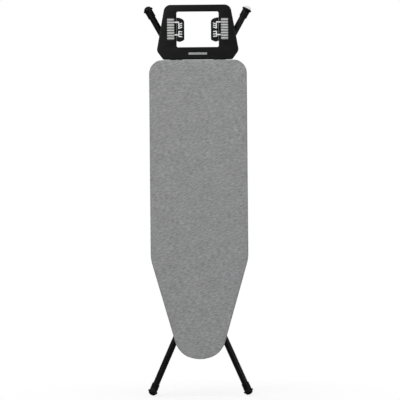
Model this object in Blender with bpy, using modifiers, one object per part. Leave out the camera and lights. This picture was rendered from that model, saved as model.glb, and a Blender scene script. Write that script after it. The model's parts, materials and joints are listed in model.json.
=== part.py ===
"""Folding ironing board with an iron rest at its tail, folded flat and hung up.

A padded steel-mesh board stands on two crossing leg frames.  The outer frame turns on brackets near the
nose.  The inner frame crosses it, and its slider bar runs in a slotted track under the board.  A sprung
clamp lever on the slider grips the track's web at any height, and its paddle frees it.

Metres.  X runs across the board, Z up from the nose to the tail, and Y from the ironing face to the legs.
The origin is the middle of the rest's top bar, on its lower edge, which hangs on a hook.
"""
import math

import bmesh
import bpy
from mathutils import Vector

OBJECT_NAME = "ironing_board"
CLEARANCE = 0.0003            # between pieces that touch
HINGE_CLEARANCE = 0.0003      # radial, round every pin and bolt

# ---- iron rest -------------------------------------------------------------------------------------------
REST_HEIGHT = 0.212
REST_TOP_BAR = 0.0257
REST_BOTTOM_BAR = 0.0475
REST_THICKNESS = 0.022
REST_TOP_HALF_WIDTH = 0.1268
REST_HIP_HALF_WIDTH = 0.1591
REST_FOOT_HALF_WIDTH = 0.134
REST_HIP_RISE = 0.0343        # height of the widest point over the lower edge
REST_TOP_RADIUS = 0.027
REST_HIP_RADIUS = 0.020
REST_FOOT_RADIUS = 0.012
REST_EDGE_RADIUS = 0.003
REST_WALL = 0.0032            # face and walls round the hollow back
REST_RIB_WALL = 0.0025
REST_BOSS_RADIUS = 0.0075
REST_OPENING_HALF_WIDTH = 0.0815
REST_OPENING_RADIUS = 0.006
REST_SEAT_RISE = 0.002        # rest's back to the arms that carry it
REST_GAP = 0.0017             # rest's lower edge to the board's tail

# ---- board -----------------------------------------------------------------------------------------------
BOARD_LENGTH = 1.161
BOARD_WIDTH = 0.380
TAIL_RADIUS = 0.051
TAPER_LENGTH = 0.390          # nose tip to where the sides start to lean in
TAPER_TIP_HALF_WIDTH = 0.0782 # where the leaning sides, carried on, meet the nose tip's level
TAPER_BLEND_RADIUS = 0.150
SHOULDER_RADIUS = 0.090
NOSE_RADIUS = 0.130
COVER_THICKNESS = 0.0015
COVER_EDGE_RADIUS = 0.003
PAD_THICKNESS = 0.008
MESH_THICKNESS = 0.0005
RIM_DEPTH = 0.020
RIM_WIDTH = 0.0025
HEM_WIDTH = 0.012
RIB_HEIGHT = 0.028            # along the board
RIB_SHEET = 0.0012
RIB_END_GAP = 0.0015          # rib end to the rim, filled by the weld
RIB_NOSE_RISE = 0.250         # nose rib over the pivots

# ---- leg frames ------------------------------------------------------------------------------------------
TUBE_RADIUS = 0.0125
TUBE_WALL = 0.0010
TUBE_BEND_RADIUS = 0.060
PIVOT_ABOVE_NOSE = 0.1805
PIVOT_INSIDE_EDGE = 0.035     # board's edge to the middle of an outer leg, at the pivots
LEG_GAP = 0.011               # between an outer and an inner tube
FOOT_RISE = 0.021             # tips of the upper feet over the hanging edge
FOOT_PAST_NOSE = 0.140
UPPER_FOOT_PAST_EDGE = 0.009  # tips of the upper feet past the board's widest
LOWER_FOOT_PAST_EDGE = 0.002
PIVOT_SWING_ROOM = 0.0006     # left between a turning tube end and its bracket
OUTER_SPLAY = math.radians(29.0)
INNER_SPLAY = math.radians(23.75)
TUBE_END_PAST_PIVOT = 0.010
FOLD_LIMIT = math.radians(46.0)
BRACE_RADIUS = 0.008
BRACE_WALL = 0.0010
OUTER_BRACE_PAST_TRACK = 0.035
INNER_BRACE_PAST_PIVOT = 0.0785

# ---- feet ------------------------------------------------------------------------------------------------
FOOT_SLEEVE_WALL = 0.0027
FOOT_SLEEVE_LENGTH = 0.030
FOOT_FLANGE_STEP = 0.0038     # flange past the sleeve
FOOT_FLANGE_LENGTH = 0.007
FOOT_DOME_LENGTH = 0.011
GLIDE_STEM_RADIUS = 0.004
GLIDE_STEM_LENGTH = 0.026

# ---- fasteners -------------------------------------------------------------------------------------------
BOLT_RADIUS = 0.004
BOLT_HEAD_RADIUS = 0.0065
BOLT_HEAD_LENGTH = 0.0045
NUT_RADIUS = 0.0072
NUT_LENGTH = 0.0060
SCREW_RADIUS = 0.0025
SCREW_HEAD_RADIUS = 0.0048
SCREW_HEAD_LENGTH = 0.0024

# ---- pivot brackets --------------------------------------------------------------------------------------
BRACKET_SHEET = 0.002
BRACKET_HEIGHT = 0.034
BRACKET_EAR_REACH = 0.011     # past the bolt's centre

# ---- height track, its slider and clamp ------------------------------------------------------------------
TRACK_HALF_WIDTH = 0.017
TRACK_SHEET = 0.0015
TRACK_LIP = 0.0025            # flange left outside the slot
TRACK_END_MARGIN = 0.041      # track past the clamp's shoe at the highest setting
TRACK_TOP_MARGIN = 0.0625     # track past the slider when folded
SLIDER_RADIUS = 0.005
SLIDER_HEAD_RADIUS = 0.008
SLIDER_HEAD_LENGTH = 0.002
CARRIAGE_TOP = 0.0135         # carriage past the slider bar, towards the tail
CARRIAGE_FOOT = 0.052         # and towards the nose
CARRIAGE_WALL = 0.0018        # past the slider's bore, away from the board
FORK_HALF_WIDTH = 0.0085
FORK_WALL = 0.0022            # left between the fork and the slider's bore
LEVER_THICKNESS = 0.005
CLAMP_PIN_RADIUS = 0.002
CLAMP_PIN_DROP = 0.018        # pin under the slider bar
CLAMP_PIN_LIFT = 0.002        # and outside it
LEVER_EYE_RADIUS = 0.006
SHOE_DROP = 0.046             # shoe's middle under the slider bar
SHOE_WIDTH = 0.006
PADDLE_HALF_WIDTH = 0.038
PADDLE_HEIGHT = 0.030
PADDLE_RISE = 0.020           # paddle's lower edge over the slider bar
PADDLE_THICKNESS = 0.0046
PADDLE_EDGE_RADIUS = 0.0016
RELEASE_LIMIT = math.radians(5.0)
ARM_THICKNESS = 0.003         # lever's arm inside the paddle
ARM_SHARE = 0.8               # of the paddle's height

# ---- iron rest fittings ----------------------------------------------------------------------------------
HEAT_PAD_INNER = 0.0905
HEAT_PAD_WIDTH = 0.0275
HEAT_PAD_TOP = -0.0266
HEAT_PAD_LENGTH = 0.084
HEAT_PAD_BASE = 0.0022
RIB_PITCH = 0.0103
RIB_BUMP_HEIGHT = 0.0016
RIB_BUMP_WIDTH = 0.0062
WING_AXIS_X = 0.0865
WING_AXIS_LIFT = 0.0036       # hinge axis in front of the rest's front face
WING_PIN_RADIUS = 0.0015
WING_KNUCKLE_RADIUS = 0.0032
WING_KNUCKLE_LENGTH = 0.008
WING_INNER_X = 0.0515
WING_OPENING_GAP = 0.0004
WING_PLATE_INSET = 0.0002     # wing's face behind the rest's
STRAP_GAP = 0.0004            # strap to wing
STRAP_BASE = 0.0014
WING_THICKNESS = 0.004
WING_TOP_Z = -0.0225
WING_CHAMFER_TOP = 0.017
WING_BOTTOM_Z = -0.1187
WING_CHAMFER_BOTTOM = 0.0074
WING_CHAMFER_BOTTOM_WIDTH = 0.021
STRAP_INNER_X = 0.0600
STRAP_COMB_OUTER_X = 0.0750
STRAP_ARM_WIDTH = 0.0048
STRAP_SPINE = 0.0042          # solid edge of a strap's end, which its teeth grow from
STRAP_TOOTH = 0.0040
STRAP_UPPER = (-0.0425, (-0.0500, -0.0578, -0.0656), 0.0040)    # arm's middle, teeth, their lean
STRAP_LOWER = (-0.0915, (-0.0782, -0.0878, -0.0973), -0.0010)
REST_ARM_X = 0.070
REST_ARM_WIDTH = 0.020
REST_ARM_THICKNESS = 0.004
BADGE_HALF_WIDTH = 0.036
BADGE_HEIGHT = 0.0085
BADGE_THICKNESS = 0.0008

# ---- places worked out from the sizes above --------------------------------------------------------------
REST_FRONT_Y = -REST_THICKNESS / 2
REST_BACK_Y = REST_THICKNESS / 2
REST_BOTTOM_Z = REST_TOP_BAR - REST_HEIGHT
TAIL_Z = REST_BOTTOM_Z - REST_GAP
NOSE_Z = TAIL_Z - BOARD_LENGTH
BOARD_STACK = 2 * COVER_THICKNESS + PAD_THICKNESS + MESH_THICKNESS + RIM_DEPTH + 5 * CLEARANCE
FACE_Y = REST_BACK_Y + REST_SEAT_RISE - BOARD_STACK
PAD_FRONT_Y = FACE_Y + COVER_THICKNESS + CLEARANCE
PAD_BACK_Y = PAD_FRONT_Y + PAD_THICKNESS
MESH_FRONT_Y = PAD_BACK_Y + CLEARANCE
MESH_BACK_Y = MESH_FRONT_Y + MESH_THICKNESS
RIM_FRONT_Y = MESH_BACK_Y + CLEARANCE
RIM_BACK_Y = RIM_FRONT_Y + RIM_DEPTH
HEM_FRONT_Y = RIM_BACK_Y + CLEARANCE
HEM_BACK_Y = HEM_FRONT_Y + COVER_THICKNESS
FITTING_Y = RIM_BACK_Y + CLEARANCE            # fittings seat here, on the ribs
INSIDE_COVER = COVER_THICKNESS + CLEARANCE    # rim, mesh and pad inside the cover
TAPER_SLOPE = (BOARD_WIDTH / 2 - TAPER_TIP_HALF_WIDTH) / TAPER_LENGTH
TAPER_ANGLE = math.atan(TAPER_SLOPE)
OUTER_TIP_Z = FOOT_RISE
INNER_TIP_Z = NOSE_Z - FOOT_PAST_NOSE
CROSS_Z = (OUTER_TIP_Z + INNER_TIP_Z) / 2     # the bolts where the frames cross
PIVOT_Z = NOSE_Z + PIVOT_ABOVE_NOSE
PIVOT_REACH = CROSS_Z - PIVOT_Z               # crossing to the fixed pivots, and to the slider
SLIDER_Z = CROSS_Z + PIVOT_REACH
UPPER_FOOT_HALF_SPACING = BOARD_WIDTH / 2 + UPPER_FOOT_PAST_EDGE
LOWER_FOOT_HALF_SPACING = BOARD_WIDTH / 2 + LOWER_FOOT_PAST_EDGE
EDGE_AT_PIVOT = BOARD_WIDTH / 2 - (TAPER_LENGTH - PIVOT_ABOVE_NOSE) * TAPER_SLOPE
OUTER_HALF_SPACING = EDGE_AT_PIVOT - PIVOT_INSIDE_EDGE
INNER_HALF_SPACING = OUTER_HALF_SPACING - 2 * TUBE_RADIUS - LEG_GAP
SPACER_LENGTH = LEG_GAP - 2 * CLEARANCE
PLUG_FLANGE = 0.0015
PLUG_DEPTH = 0.0035
TUBE_END_SWING = math.hypot(TUBE_END_PAST_PIVOT + PLUG_FLANGE + CLEARANCE, TUBE_RADIUS)
FRAME_Y = FITTING_Y + BRACKET_SHEET + TUBE_END_SWING + PIVOT_SWING_ROOM    # plane of both folded frames
FOOT_SLEEVE_RADIUS = TUBE_RADIUS + FOOT_SLEEVE_WALL
FOOT_FLANGE_RADIUS = FOOT_SLEEVE_RADIUS + FOOT_FLANGE_STEP
FOOT_DOME_RADIUS = FOOT_SLEEVE_RADIUS + CLEARANCE
FOOT_SEAT = FOOT_DOME_LENGTH + FOOT_FLANGE_LENGTH / 2    # tip of a foot to the end of its tube
FOOT_LENGTH = FOOT_SLEEVE_LENGTH + FOOT_FLANGE_LENGTH + FOOT_DOME_LENGTH
SLOT_HALF = SLIDER_RADIUS + HINGE_CLEARANCE
TRACK_LIP_Y = FRAME_Y + SLOT_HALF + TRACK_LIP
CLAMP_PIN_Y = FRAME_Y + CLAMP_PIN_LIFT
CLAMP_PIN_Z = SLIDER_Z - CLAMP_PIN_DROP
PADDLE_LOW_Z = SLIDER_Z + PADDLE_RISE
PADDLE_TRAVEL = (PADDLE_LOW_Z + PADDLE_HEIGHT - CLAMP_PIN_Z) * math.sin(RELEASE_LIMIT)
PADDLE_FRONT_Y = TRACK_LIP_Y + PADDLE_TRAVEL + 2 * CLEARANCE
SHOE_Z = SLIDER_Z - SHOE_DROP
WING_AXIS_Y = REST_FRONT_Y - WING_AXIS_LIFT
WING_AXIS_Z = HEAT_PAD_TOP - HEAT_PAD_LENGTH / 2
CUT_PAST = 0.010              # how far a cutter runs past the surface it opens


def slider_z_at(fold):
    """Height of the slider bar when the outer frame has turned by fold."""
    return PIVOT_Z + 2 * PIVOT_REACH * math.cos(fold)


SLIDER_LOW_Z = slider_z_at(FOLD_LIMIT)
TRACK_LOW_Z = SLIDER_LOW_Z - SHOE_DROP - TRACK_END_MARGIN
TRACK_HIGH_Z = SLIDER_Z + TRACK_TOP_MARGIN
RIB_MIDDLE_Z = TRACK_LOW_Z + RIB_HEIGHT / 2
RIB_TAIL_Z = TRACK_HIGH_Z - RIB_HEIGHT / 2
RIB_NOSE_Z = PIVOT_Z + RIB_NOSE_RISE
OUTER_BRACE_Z = TRACK_HIGH_Z + OUTER_BRACE_PAST_TRACK
INNER_BRACE_Z = PIVOT_Z + INNER_BRACE_PAST_PIVOT

# ---- collections, materials and small tools --------------------------------------------------------------
for old_object in list(bpy.data.objects):
    bpy.data.objects.remove(old_object, do_unlink=True)


def new_collection(name):
    collection = bpy.data.collections.new(name)
    bpy.context.scene.collection.children.link(collection)
    return collection


PARTS = new_collection(OBJECT_NAME)
CUTTERS = new_collection(OBJECT_NAME + "_cutters")


def material(name, colour, roughness, metallic=0.0):
    made = bpy.data.materials.new(name)
    made.use_nodes = True
    shader = made.node_tree.nodes["Principled BSDF"]
    shader.inputs["Base Color"].default_value = (*colour, 1.0)
    shader.inputs["Roughness"].default_value = roughness
    shader.inputs["Metallic"].default_value = metallic
    return made


GREY_COTTON = material("grey_cotton", (0.26, 0.26, 0.26), 0.95)
CREAM_FOAM = material("cream_foam", (0.72, 0.69, 0.60), 0.90)
GREY_STEEL = material("grey_painted_steel", (0.20, 0.20, 0.21), 0.45, 0.5)
BLACK_STEEL = material("black_painted_steel", (0.012, 0.012, 0.013), 0.30, 0.3)
ZINC_STEEL = material("zinc_plated_steel", (0.62, 0.62, 0.60), 0.32, 1.0)
BLACK_PLASTIC = material("black_plastic", (0.014, 0.014, 0.015), 0.42)
PALE_SILICONE = material("pale_silicone", (0.50, 0.51, 0.50), 0.60)


def show_part(part, finish):
    """Put a finished piece in the parts collection with its material and smooth round faces."""
    for collection in list(part.users_collection):
        collection.objects.unlink(part)
    PARTS.objects.link(part)
    part.hide_render = False
    part.display_type = "TEXTURED"
    part.data.materials.clear()
    part.data.materials.append(finish)
    part.data.shade_smooth()
    part.data.set_sharp_from_angle(angle=math.radians(35))
    return part


def mesh_object(name, mesh):
    made = bpy.data.objects.new(name, mesh)
    CUTTERS.objects.link(made)
    made.hide_render = True
    made.display_type = "WIRE"
    return made


def curve_to_mesh(curve_object, recalculate=True):
    """The curve's shape as a welded mesh object in the same place, and the curve removed."""
    bpy.context.view_layer.update()
    depsgraph = bpy.context.evaluated_depsgraph_get()
    mesh = bpy.data.meshes.new_from_object(curve_object.evaluated_get(depsgraph))
    shape = bmesh.new()
    shape.from_mesh(mesh)
    bmesh.ops.remove_doubles(shape, verts=shape.verts, dist=0.000001)
    if recalculate:
        bmesh.ops.recalc_face_normals(shape, faces=shape.faces)
    shape.to_mesh(mesh)
    shape.free()
    made = mesh_object(curve_object.name, mesh)
    made.matrix_world = curve_object.matrix_world
    name = curve_object.name
    bpy.data.objects.remove(curve_object, do_unlink=True)
    made.name = name
    return made


def poly_spline(curve, points, closed):
    spline = curve.splines.new("POLY")
    spline.points.add(len(points) - 1)
    for spline_point, place in zip(spline.points, points):
        spline_point.co = (*place, 0.0, 1.0) if len(place) == 2 else (*place, 1.0)
    spline.use_cyclic_u = closed


PRISM_TURN = {"x": (90, 0, 90), "y": (90, 0, 0), "z": (0, 0, 0)}


def prism(name, outlines, axis, low, high):
    """Flat outlines pushed along an axis.  Outline points are (y, z), (x, z) or (x, y) for x, y or z."""
    curve = bpy.data.curves.new(name, "CURVE")
    curve.dimensions = "2D"
    curve.fill_mode = "BOTH"
    curve.extrude = (high - low) / 2
    for outline in outlines:
        poly_spline(curve, outline, True)
    made = bpy.data.objects.new(name, curve)
    CUTTERS.objects.link(made)
    made.rotation_euler = [math.radians(turn) for turn in PRISM_TURN[axis]]
    made.location["xyz".index(axis)] = (low + high) / 2
    return curve_to_mesh(made)


def rectangle(low_u, high_u, low_v, high_v):
    return [(low_u, low_v), (high_u, low_v), (high_u, high_v), (low_u, high_v)]


def block(name, low, high):
    """Box between two corners, as a primitive cube with its scale in the mesh."""
    mesh = bpy.data.meshes.new(name)
    shape = bmesh.new()
    bmesh.ops.create_cube(shape, size=1.0)
    size = Vector(high) - Vector(low)
    bmesh.ops.scale(shape, vec=size, verts=shape.verts)
    shape.to_mesh(mesh)
    shape.free()
    made = mesh_object(name, mesh)
    made.location = (Vector(low) + Vector(high)) / 2
    return made


AXIS_TURN = {"x": (0, 90, 0), "y": (-90, 0, 0), "z": (0, 0, 0)}


def cylinder(name, radius, centre, axis, length, sides=24):
    """Cylinder with its middle at centre, along an axis named x, y or z."""
    mesh = bpy.data.meshes.new(name)
    shape = bmesh.new()
    bmesh.ops.create_cone(
        shape, cap_ends=True, segments=sides, radius1=radius, radius2=radius, depth=length
    )
    shape.to_mesh(mesh)
    shape.free()
    made = mesh_object(name, mesh)
    made.location = centre
    made.rotation_euler = [math.radians(turn) for turn in AXIS_TURN[axis]]
    return made


def turned(name, profile, steps=24):
    """Profile of (radius, height) points, outer side from top to bottom, turned round local Z."""
    mesh = bpy.data.meshes.new(name)
    shape = bmesh.new()
    corners = [shape.verts.new((radius, 0.0, height)) for radius, height in profile]
    for first, second in zip(corners, corners[1:]):
        shape.edges.new((first, second))
    shape.to_mesh(mesh)
    shape.free()
    made = mesh_object(name, mesh)
    screw = made.modifiers.new("Turn", "SCREW")
    screw.steps = steps
    screw.render_steps = steps
    screw.use_merge_vertices = True
    screw.merge_threshold = 0.00001
    return made


def cut(part, cutter):
    tool = part.modifiers.new("Cut " + cutter.name, "BOOLEAN")
    tool.operation = "DIFFERENCE"
    tool.object = cutter
    tool.solver = "EXACT"


def weld_on(part, added):
    tool = part.modifiers.new("Join " + added.name, "BOOLEAN")
    tool.operation = "UNION"
    tool.object = added
    tool.solver = "EXACT"


def round_edges(part, radius, segments=2, angle=40):
    bevel = part.modifiers.new("Round", "BEVEL")
    bevel.width = radius
    bevel.segments = segments
    bevel.limit_method = "ANGLE"
    bevel.angle_limit = math.radians(angle)
    bevel.use_clamp_overlap = True


def mirrored_name(base, side):
    return base + ("_right" if side > 0 else "_left")


SIDES = (1, -1)


# ---- outlines --------------------------------------------------------------------------------------------
def arc(centre, radius, start, end, steps):
    """Points on an arc, both ends included, angles from +X."""
    return [
        (
            centre[0] + radius * math.cos(start + (end - start) * step / steps),
            centre[1] + radius * math.sin(start + (end - start) * step / steps),
        )
        for step in range(steps + 1)
    ]


def rounded_corners(corners, steps=5):
    """Closed outline through (x, y, radius) corners, each rounded by an arc."""
    outline = []
    for index, (x, y, radius) in enumerate(corners):
        corner = Vector((x, y))
        before = (Vector(corners[index - 1][:2]) - corner).normalized()
        after = (Vector(corners[(index + 1) % len(corners)][:2]) - corner).normalized()
        half = before.angle(after) / 2
        if radius <= 0.0:
            outline.append((x, y))
            continue
        centre = corner + (before + after).normalized() * (radius / math.sin(half))
        start = corner + before * (radius / math.tan(half)) - centre
        end = corner + after * (radius / math.tan(half)) - centre
        turn = start.angle_signed(end)
        first = math.atan2(start.y, start.x)
        outline += arc(centre, radius, first, first - turn, steps)
    return outline


def board_outline(inset):
    """The board's plan: round tail corners, straight sides, leaning sides and a three-arc nose."""
    half_width = BOARD_WIDTH / 2
    taper_start = Vector((half_width, NOSE_Z + TAPER_LENGTH))
    towards_nose = Vector((-math.sin(TAPER_ANGLE), -math.cos(TAPER_ANGLE)))
    inwards = Vector((-math.cos(TAPER_ANGLE), math.sin(TAPER_ANGLE)))
    nose_centre = Vector((0.0, NOSE_Z + NOSE_RADIUS))
    # the shoulder's centre is one radius inside the leaning side, and inside the nose arc
    start = taper_start + SHOULDER_RADIUS * inwards - nose_centre
    reach = NOSE_RADIUS - SHOULDER_RADIUS
    along = start.dot(towards_nose)
    travel = -along + math.sqrt(along ** 2 - start.length_squared + reach ** 2)
    shoulder_centre = taper_start + SHOULDER_RADIUS * inwards + travel * towards_nose
    nose_turn = math.atan2(*(shoulder_centre - nose_centre).yx)
    tail_centre = (half_width - TAIL_RADIUS, TAIL_Z - TAIL_RADIUS)
    blend_drop = TAPER_BLEND_RADIUS * math.tan(TAPER_ANGLE / 2)
    blend_centre = (half_width - TAPER_BLEND_RADIUS, NOSE_Z + TAPER_LENGTH + blend_drop)
    right = arc(nose_centre, NOSE_RADIUS - inset, -math.pi / 2, nose_turn, 6)
    right += arc(shoulder_centre, SHOULDER_RADIUS - inset, nose_turn, -TAPER_ANGLE, 5)[1:]
    right += arc(blend_centre, TAPER_BLEND_RADIUS - inset, -TAPER_ANGLE, 0.0, 2)
    right += arc(tail_centre, TAIL_RADIUS - inset, 0.0, math.pi / 2, 8)
    left = [(-x, z) for x, z in reversed(right[1:])]
    return right + left


def half_width_at(z, inset=0.0):
    """Half width of the board at a height that lies beside the straight or the leaning sides."""
    lean = max(0.0, NOSE_Z + TAPER_LENGTH - z)
    slope_inset = inset if lean == 0.0 else inset / math.cos(TAPER_ANGLE)
    return BOARD_WIDTH / 2 - lean * math.tan(TAPER_ANGLE) - slope_inset


def mirrored_outline(half):
    """Full outline from the corners of its right half, listed from the bottom to the top."""
    return half + [(-x, y, radius) for x, y, radius in reversed(half)]


# ---- board: cover, pad, mesh, rim and ribs ---------------------------------------------------------------
def build_cover():
    """Cotton cover: face, sides and a hem turned in behind the rim, open at the back."""
    cover = prism("cover", [board_outline(0.0)], "y", FACE_Y, HEM_BACK_Y)
    inside = prism(
        "cover_inside", [board_outline(COVER_THICKNESS)], "y", FACE_Y + COVER_THICKNESS, HEM_FRONT_Y
    )
    mouth = prism(
        "cover_mouth", [board_outline(HEM_WIDTH)], "y", HEM_FRONT_Y - COVER_THICKNESS, HEM_BACK_Y + CUT_PAST
    )
    round_edges(cover, COVER_EDGE_RADIUS / 2)
    weld_on(inside, mouth)
    cut(cover, inside)
    show_part(cover, GREY_COTTON)


def build_board_core():
    pad = prism("pad", [board_outline(INSIDE_COVER)], "y", PAD_FRONT_Y, PAD_BACK_Y)
    show_part(pad, CREAM_FOAM)
    mesh_top = prism("mesh_top", [board_outline(INSIDE_COVER)], "y", MESH_FRONT_Y, MESH_BACK_Y)
    show_part(mesh_top, GREY_STEEL)
    rim_outlines = [board_outline(INSIDE_COVER), board_outline(INSIDE_COVER + RIM_WIDTH)]
    rim = prism("edge_rim", rim_outlines, "y", RIM_FRONT_Y, RIM_BACK_Y)
    show_part(rim, GREY_STEEL)


def build_rib(name, z):
    """Pressed channel across the board, its web flush with the rim's back."""
    low, high = z - RIB_HEIGHT / 2, z + RIB_HEIGHT / 2
    half_length = half_width_at(low, INSIDE_COVER + RIM_WIDTH) - RIB_END_GAP
    channel = [
        (RIM_FRONT_Y, low),
        (RIM_FRONT_Y, low + RIB_SHEET),
        (RIM_BACK_Y - RIB_SHEET, low + RIB_SHEET),
        (RIM_BACK_Y - RIB_SHEET, high - RIB_SHEET),
        (RIM_FRONT_Y, high - RIB_SHEET),
        (RIM_FRONT_Y, high),
        (RIM_BACK_Y, high),
        (RIM_BACK_Y, low),
    ]
    rib = prism(name, [channel], "x", -half_length, half_length)
    return show_part(rib, GREY_STEEL)


# ---- height track ----------------------------------------------------------------------------------------
def build_track():
    """Pressed channel with a slot in each flange for the slider bar, its web plain for the clamp's shoe."""
    half = TRACK_HALF_WIDTH
    section = [
        (-half, FITTING_Y),
        (half, FITTING_Y),
        (half, TRACK_LIP_Y),
        (half - TRACK_SHEET, TRACK_LIP_Y),
        (half - TRACK_SHEET, FITTING_Y + TRACK_SHEET),
        (-half + TRACK_SHEET, FITTING_Y + TRACK_SHEET),
        (-half + TRACK_SHEET, TRACK_LIP_Y),
        (-half, TRACK_LIP_Y),
    ]
    track = prism("height_track", [section], "z", TRACK_LOW_Z, TRACK_HIGH_Z)
    slot_low = SLIDER_LOW_Z - SLOT_HALF
    slot_high = SLIDER_Z + SLOT_HALF
    end_radius = SLOT_HALF * 0.98    # just under half the slot's width, so each end keeps one flat
    slot_outline = rounded_corners(
        [
            (FRAME_Y - SLOT_HALF, slot_low, end_radius),
            (FRAME_Y + SLOT_HALF, slot_low, end_radius),
            (FRAME_Y + SLOT_HALF, slot_high, end_radius),
            (FRAME_Y - SLOT_HALF, slot_high, end_radius),
        ]
    )
    cut(track, prism("track_slot", [slot_outline], "x", -2 * half, 2 * half))
    show_part(track, GREY_STEEL)


# ---- iron rest -------------------------------------------------------------------------------------------
KNUCKLE_LEVELS = (
    HEAT_PAD_TOP - WING_KNUCKLE_LENGTH / 2,
    (STRAP_UPPER[0] + STRAP_LOWER[0]) / 2,
    HEAT_PAD_TOP - HEAT_PAD_LENGTH + WING_KNUCKLE_LENGTH / 2,
)


def build_rest_frame():
    """Moulded frame with an opening, hinge knuckles for the wings and blind holes for the screws."""
    outline = mirrored_outline(
        [
            (REST_FOOT_HALF_WIDTH, REST_BOTTOM_Z, REST_FOOT_RADIUS),
            (REST_HIP_HALF_WIDTH, REST_BOTTOM_Z + REST_HIP_RISE, REST_HIP_RADIUS),
            (REST_TOP_HALF_WIDTH, REST_TOP_BAR, REST_TOP_RADIUS),
        ]
    )
    opening = mirrored_outline(
        [
            (REST_OPENING_HALF_WIDTH, REST_BOTTOM_Z + REST_BOTTOM_BAR, REST_OPENING_RADIUS),
            (REST_OPENING_HALF_WIDTH, 0.0, REST_OPENING_RADIUS),
        ]
    )
    outlines = [rounded_corners(outline), rounded_corners(opening, 3)]
    rest = prism("rest_frame", outlines, "y", REST_FRONT_Y, REST_BACK_Y)
    round_edges(rest, REST_EDGE_RADIUS)
    cut(rest, rest_pocket(outline, opening))
    for side in SIDES:
        for level, z in enumerate(KNUCKLE_LEVELS):
            knuckle = prism(
                mirrored_name(f"knuckle_{level}", side),
                [knuckle_outline(side)],
                "z",
                z - WING_KNUCKLE_LENGTH / 2,
                z + WING_KNUCKLE_LENGTH / 2,
            )
            weld_on(rest, knuckle)
        pin_bore = cylinder(
            mirrored_name("wing_pin_bore", side),
            WING_PIN_RADIUS + HINGE_CLEARANCE,
            (side * WING_AXIS_X, WING_AXIS_Y, WING_AXIS_Z),
            "z",
            2 * HEAT_PAD_LENGTH,
            12,
        )
        cut(rest, pin_bore)
        screw_hole = cylinder(
            mirrored_name("rest_screw_hole", side),
            SCREW_RADIUS + CLEARANCE,
            (side * REST_ARM_X, REST_BACK_Y, REST_SCREW_Z),
            "y",
            2 * REST_SCREW_DEPTH,
            12,
        )
        cut(rest, screw_hole)
    show_part(rest, BLACK_PLASTIC)


def resized(corners, growth):
    """Corners of a rounded outline moved out by growth, or in where growth is negative."""
    moved = []
    for index, (x, z, radius) in enumerate(corners):
        corner = Vector((x, z))
        before = (corner - Vector(corners[index - 1][:2])).normalized()
        after = (Vector(corners[(index + 1) % len(corners)][:2]) - corner).normalized()
        outwards = (Vector((before.y, -before.x)) + Vector((after.y, -after.x))).normalized()
        half = before.angle(after) / 2
        place = corner + outwards * (growth / math.cos(half))
        moved.append((place.x, place.y, max(radius + growth, 0.001)))
    return moved


def rest_pocket(outline, opening):
    """Hollow behind the rest's face, divided by thin ribs and left solid round the screws."""
    outlines = [
        rounded_corners(resized(outline, -REST_WALL), 4),
        rounded_corners(resized(opening, REST_WALL), 3),
    ]
    floor_y = REST_FRONT_Y + REST_WALL
    deep_y = REST_BACK_Y + CUT_PAST
    pocket = prism("rest_pocket", outlines, "y", floor_y, deep_y)
    for number, (x, z, half_x, half_z) in enumerate(rest_ribs()):
        low = (x - half_x, floor_y - CUT_PAST, z - half_z)
        high = (x + half_x, deep_y + CUT_PAST, z + half_z)
        cut(pocket, block(f"rest_rib_{number}", low, high))
    for side in SIDES:
        boss = cylinder(
            mirrored_name("rest_boss", side),
            REST_BOSS_RADIUS,
            (side * REST_ARM_X, 0.0, REST_SCREW_Z),
            "y",
            4 * REST_THICKNESS,
            16,
        )
        cut(pocket, boss)
    return pocket


def rest_ribs():
    """Middle and half sizes (x, z, half x, half z) of the thin ribs that stand in the rest's hollow."""
    half_rib = REST_RIB_WALL / 2
    upper_middle = REST_TOP_BAR / 2
    lower_middle = REST_BOTTOM_Z + REST_BOTTOM_BAR / 2
    opening_low = REST_BOTTOM_Z + REST_BOTTOM_BAR
    bar_middle = (REST_OPENING_HALF_WIDTH + REST_HIP_HALF_WIDTH) / 2
    bar_half = REST_HIP_HALF_WIDTH - bar_middle
    ribs = [(0.0, upper_middle, half_rib, REST_TOP_BAR), (0.0, lower_middle, half_rib, REST_BOTTOM_BAR)]
    for side in SIDES:
        ribs.append((side * REST_OPENING_HALF_WIDTH, upper_middle, half_rib, REST_TOP_BAR))
        ribs.append((side * REST_OPENING_HALF_WIDTH, lower_middle, half_rib, REST_BOTTOM_BAR))
        for z in (0.0, opening_low / 2, opening_low):
            ribs.append((side * bar_middle, z, bar_half, half_rib))
    return ribs


def knuckle_outline(side):
    """Hinge knuckle: half round over the pin, straight down into the rest's face."""
    centre = (side * WING_AXIS_X, WING_AXIS_Y)
    round_front = arc(centre, WING_KNUCKLE_RADIUS, -math.pi, 0.0, 8)
    foot_y = REST_FRONT_Y + 0.002
    left_x = centre[0] - WING_KNUCKLE_RADIUS
    right_x = centre[0] + WING_KNUCKLE_RADIUS
    return round_front + [(right_x, foot_y), (left_x, foot_y)]


REST_SCREW_Z = REST_BOTTOM_Z + 0.022
REST_SCREW_DEPTH = 0.012
ARM_LOW_Z = RIB_TAIL_Z - REST_ARM_WIDTH / 2
ARM_HIGH_Z = REST_SCREW_Z + REST_ARM_WIDTH / 2
ARM_FRONT_Y = HEM_BACK_Y + CLEARANCE
ARM_BACK_Y = ARM_FRONT_Y + REST_ARM_THICKNESS


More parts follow.
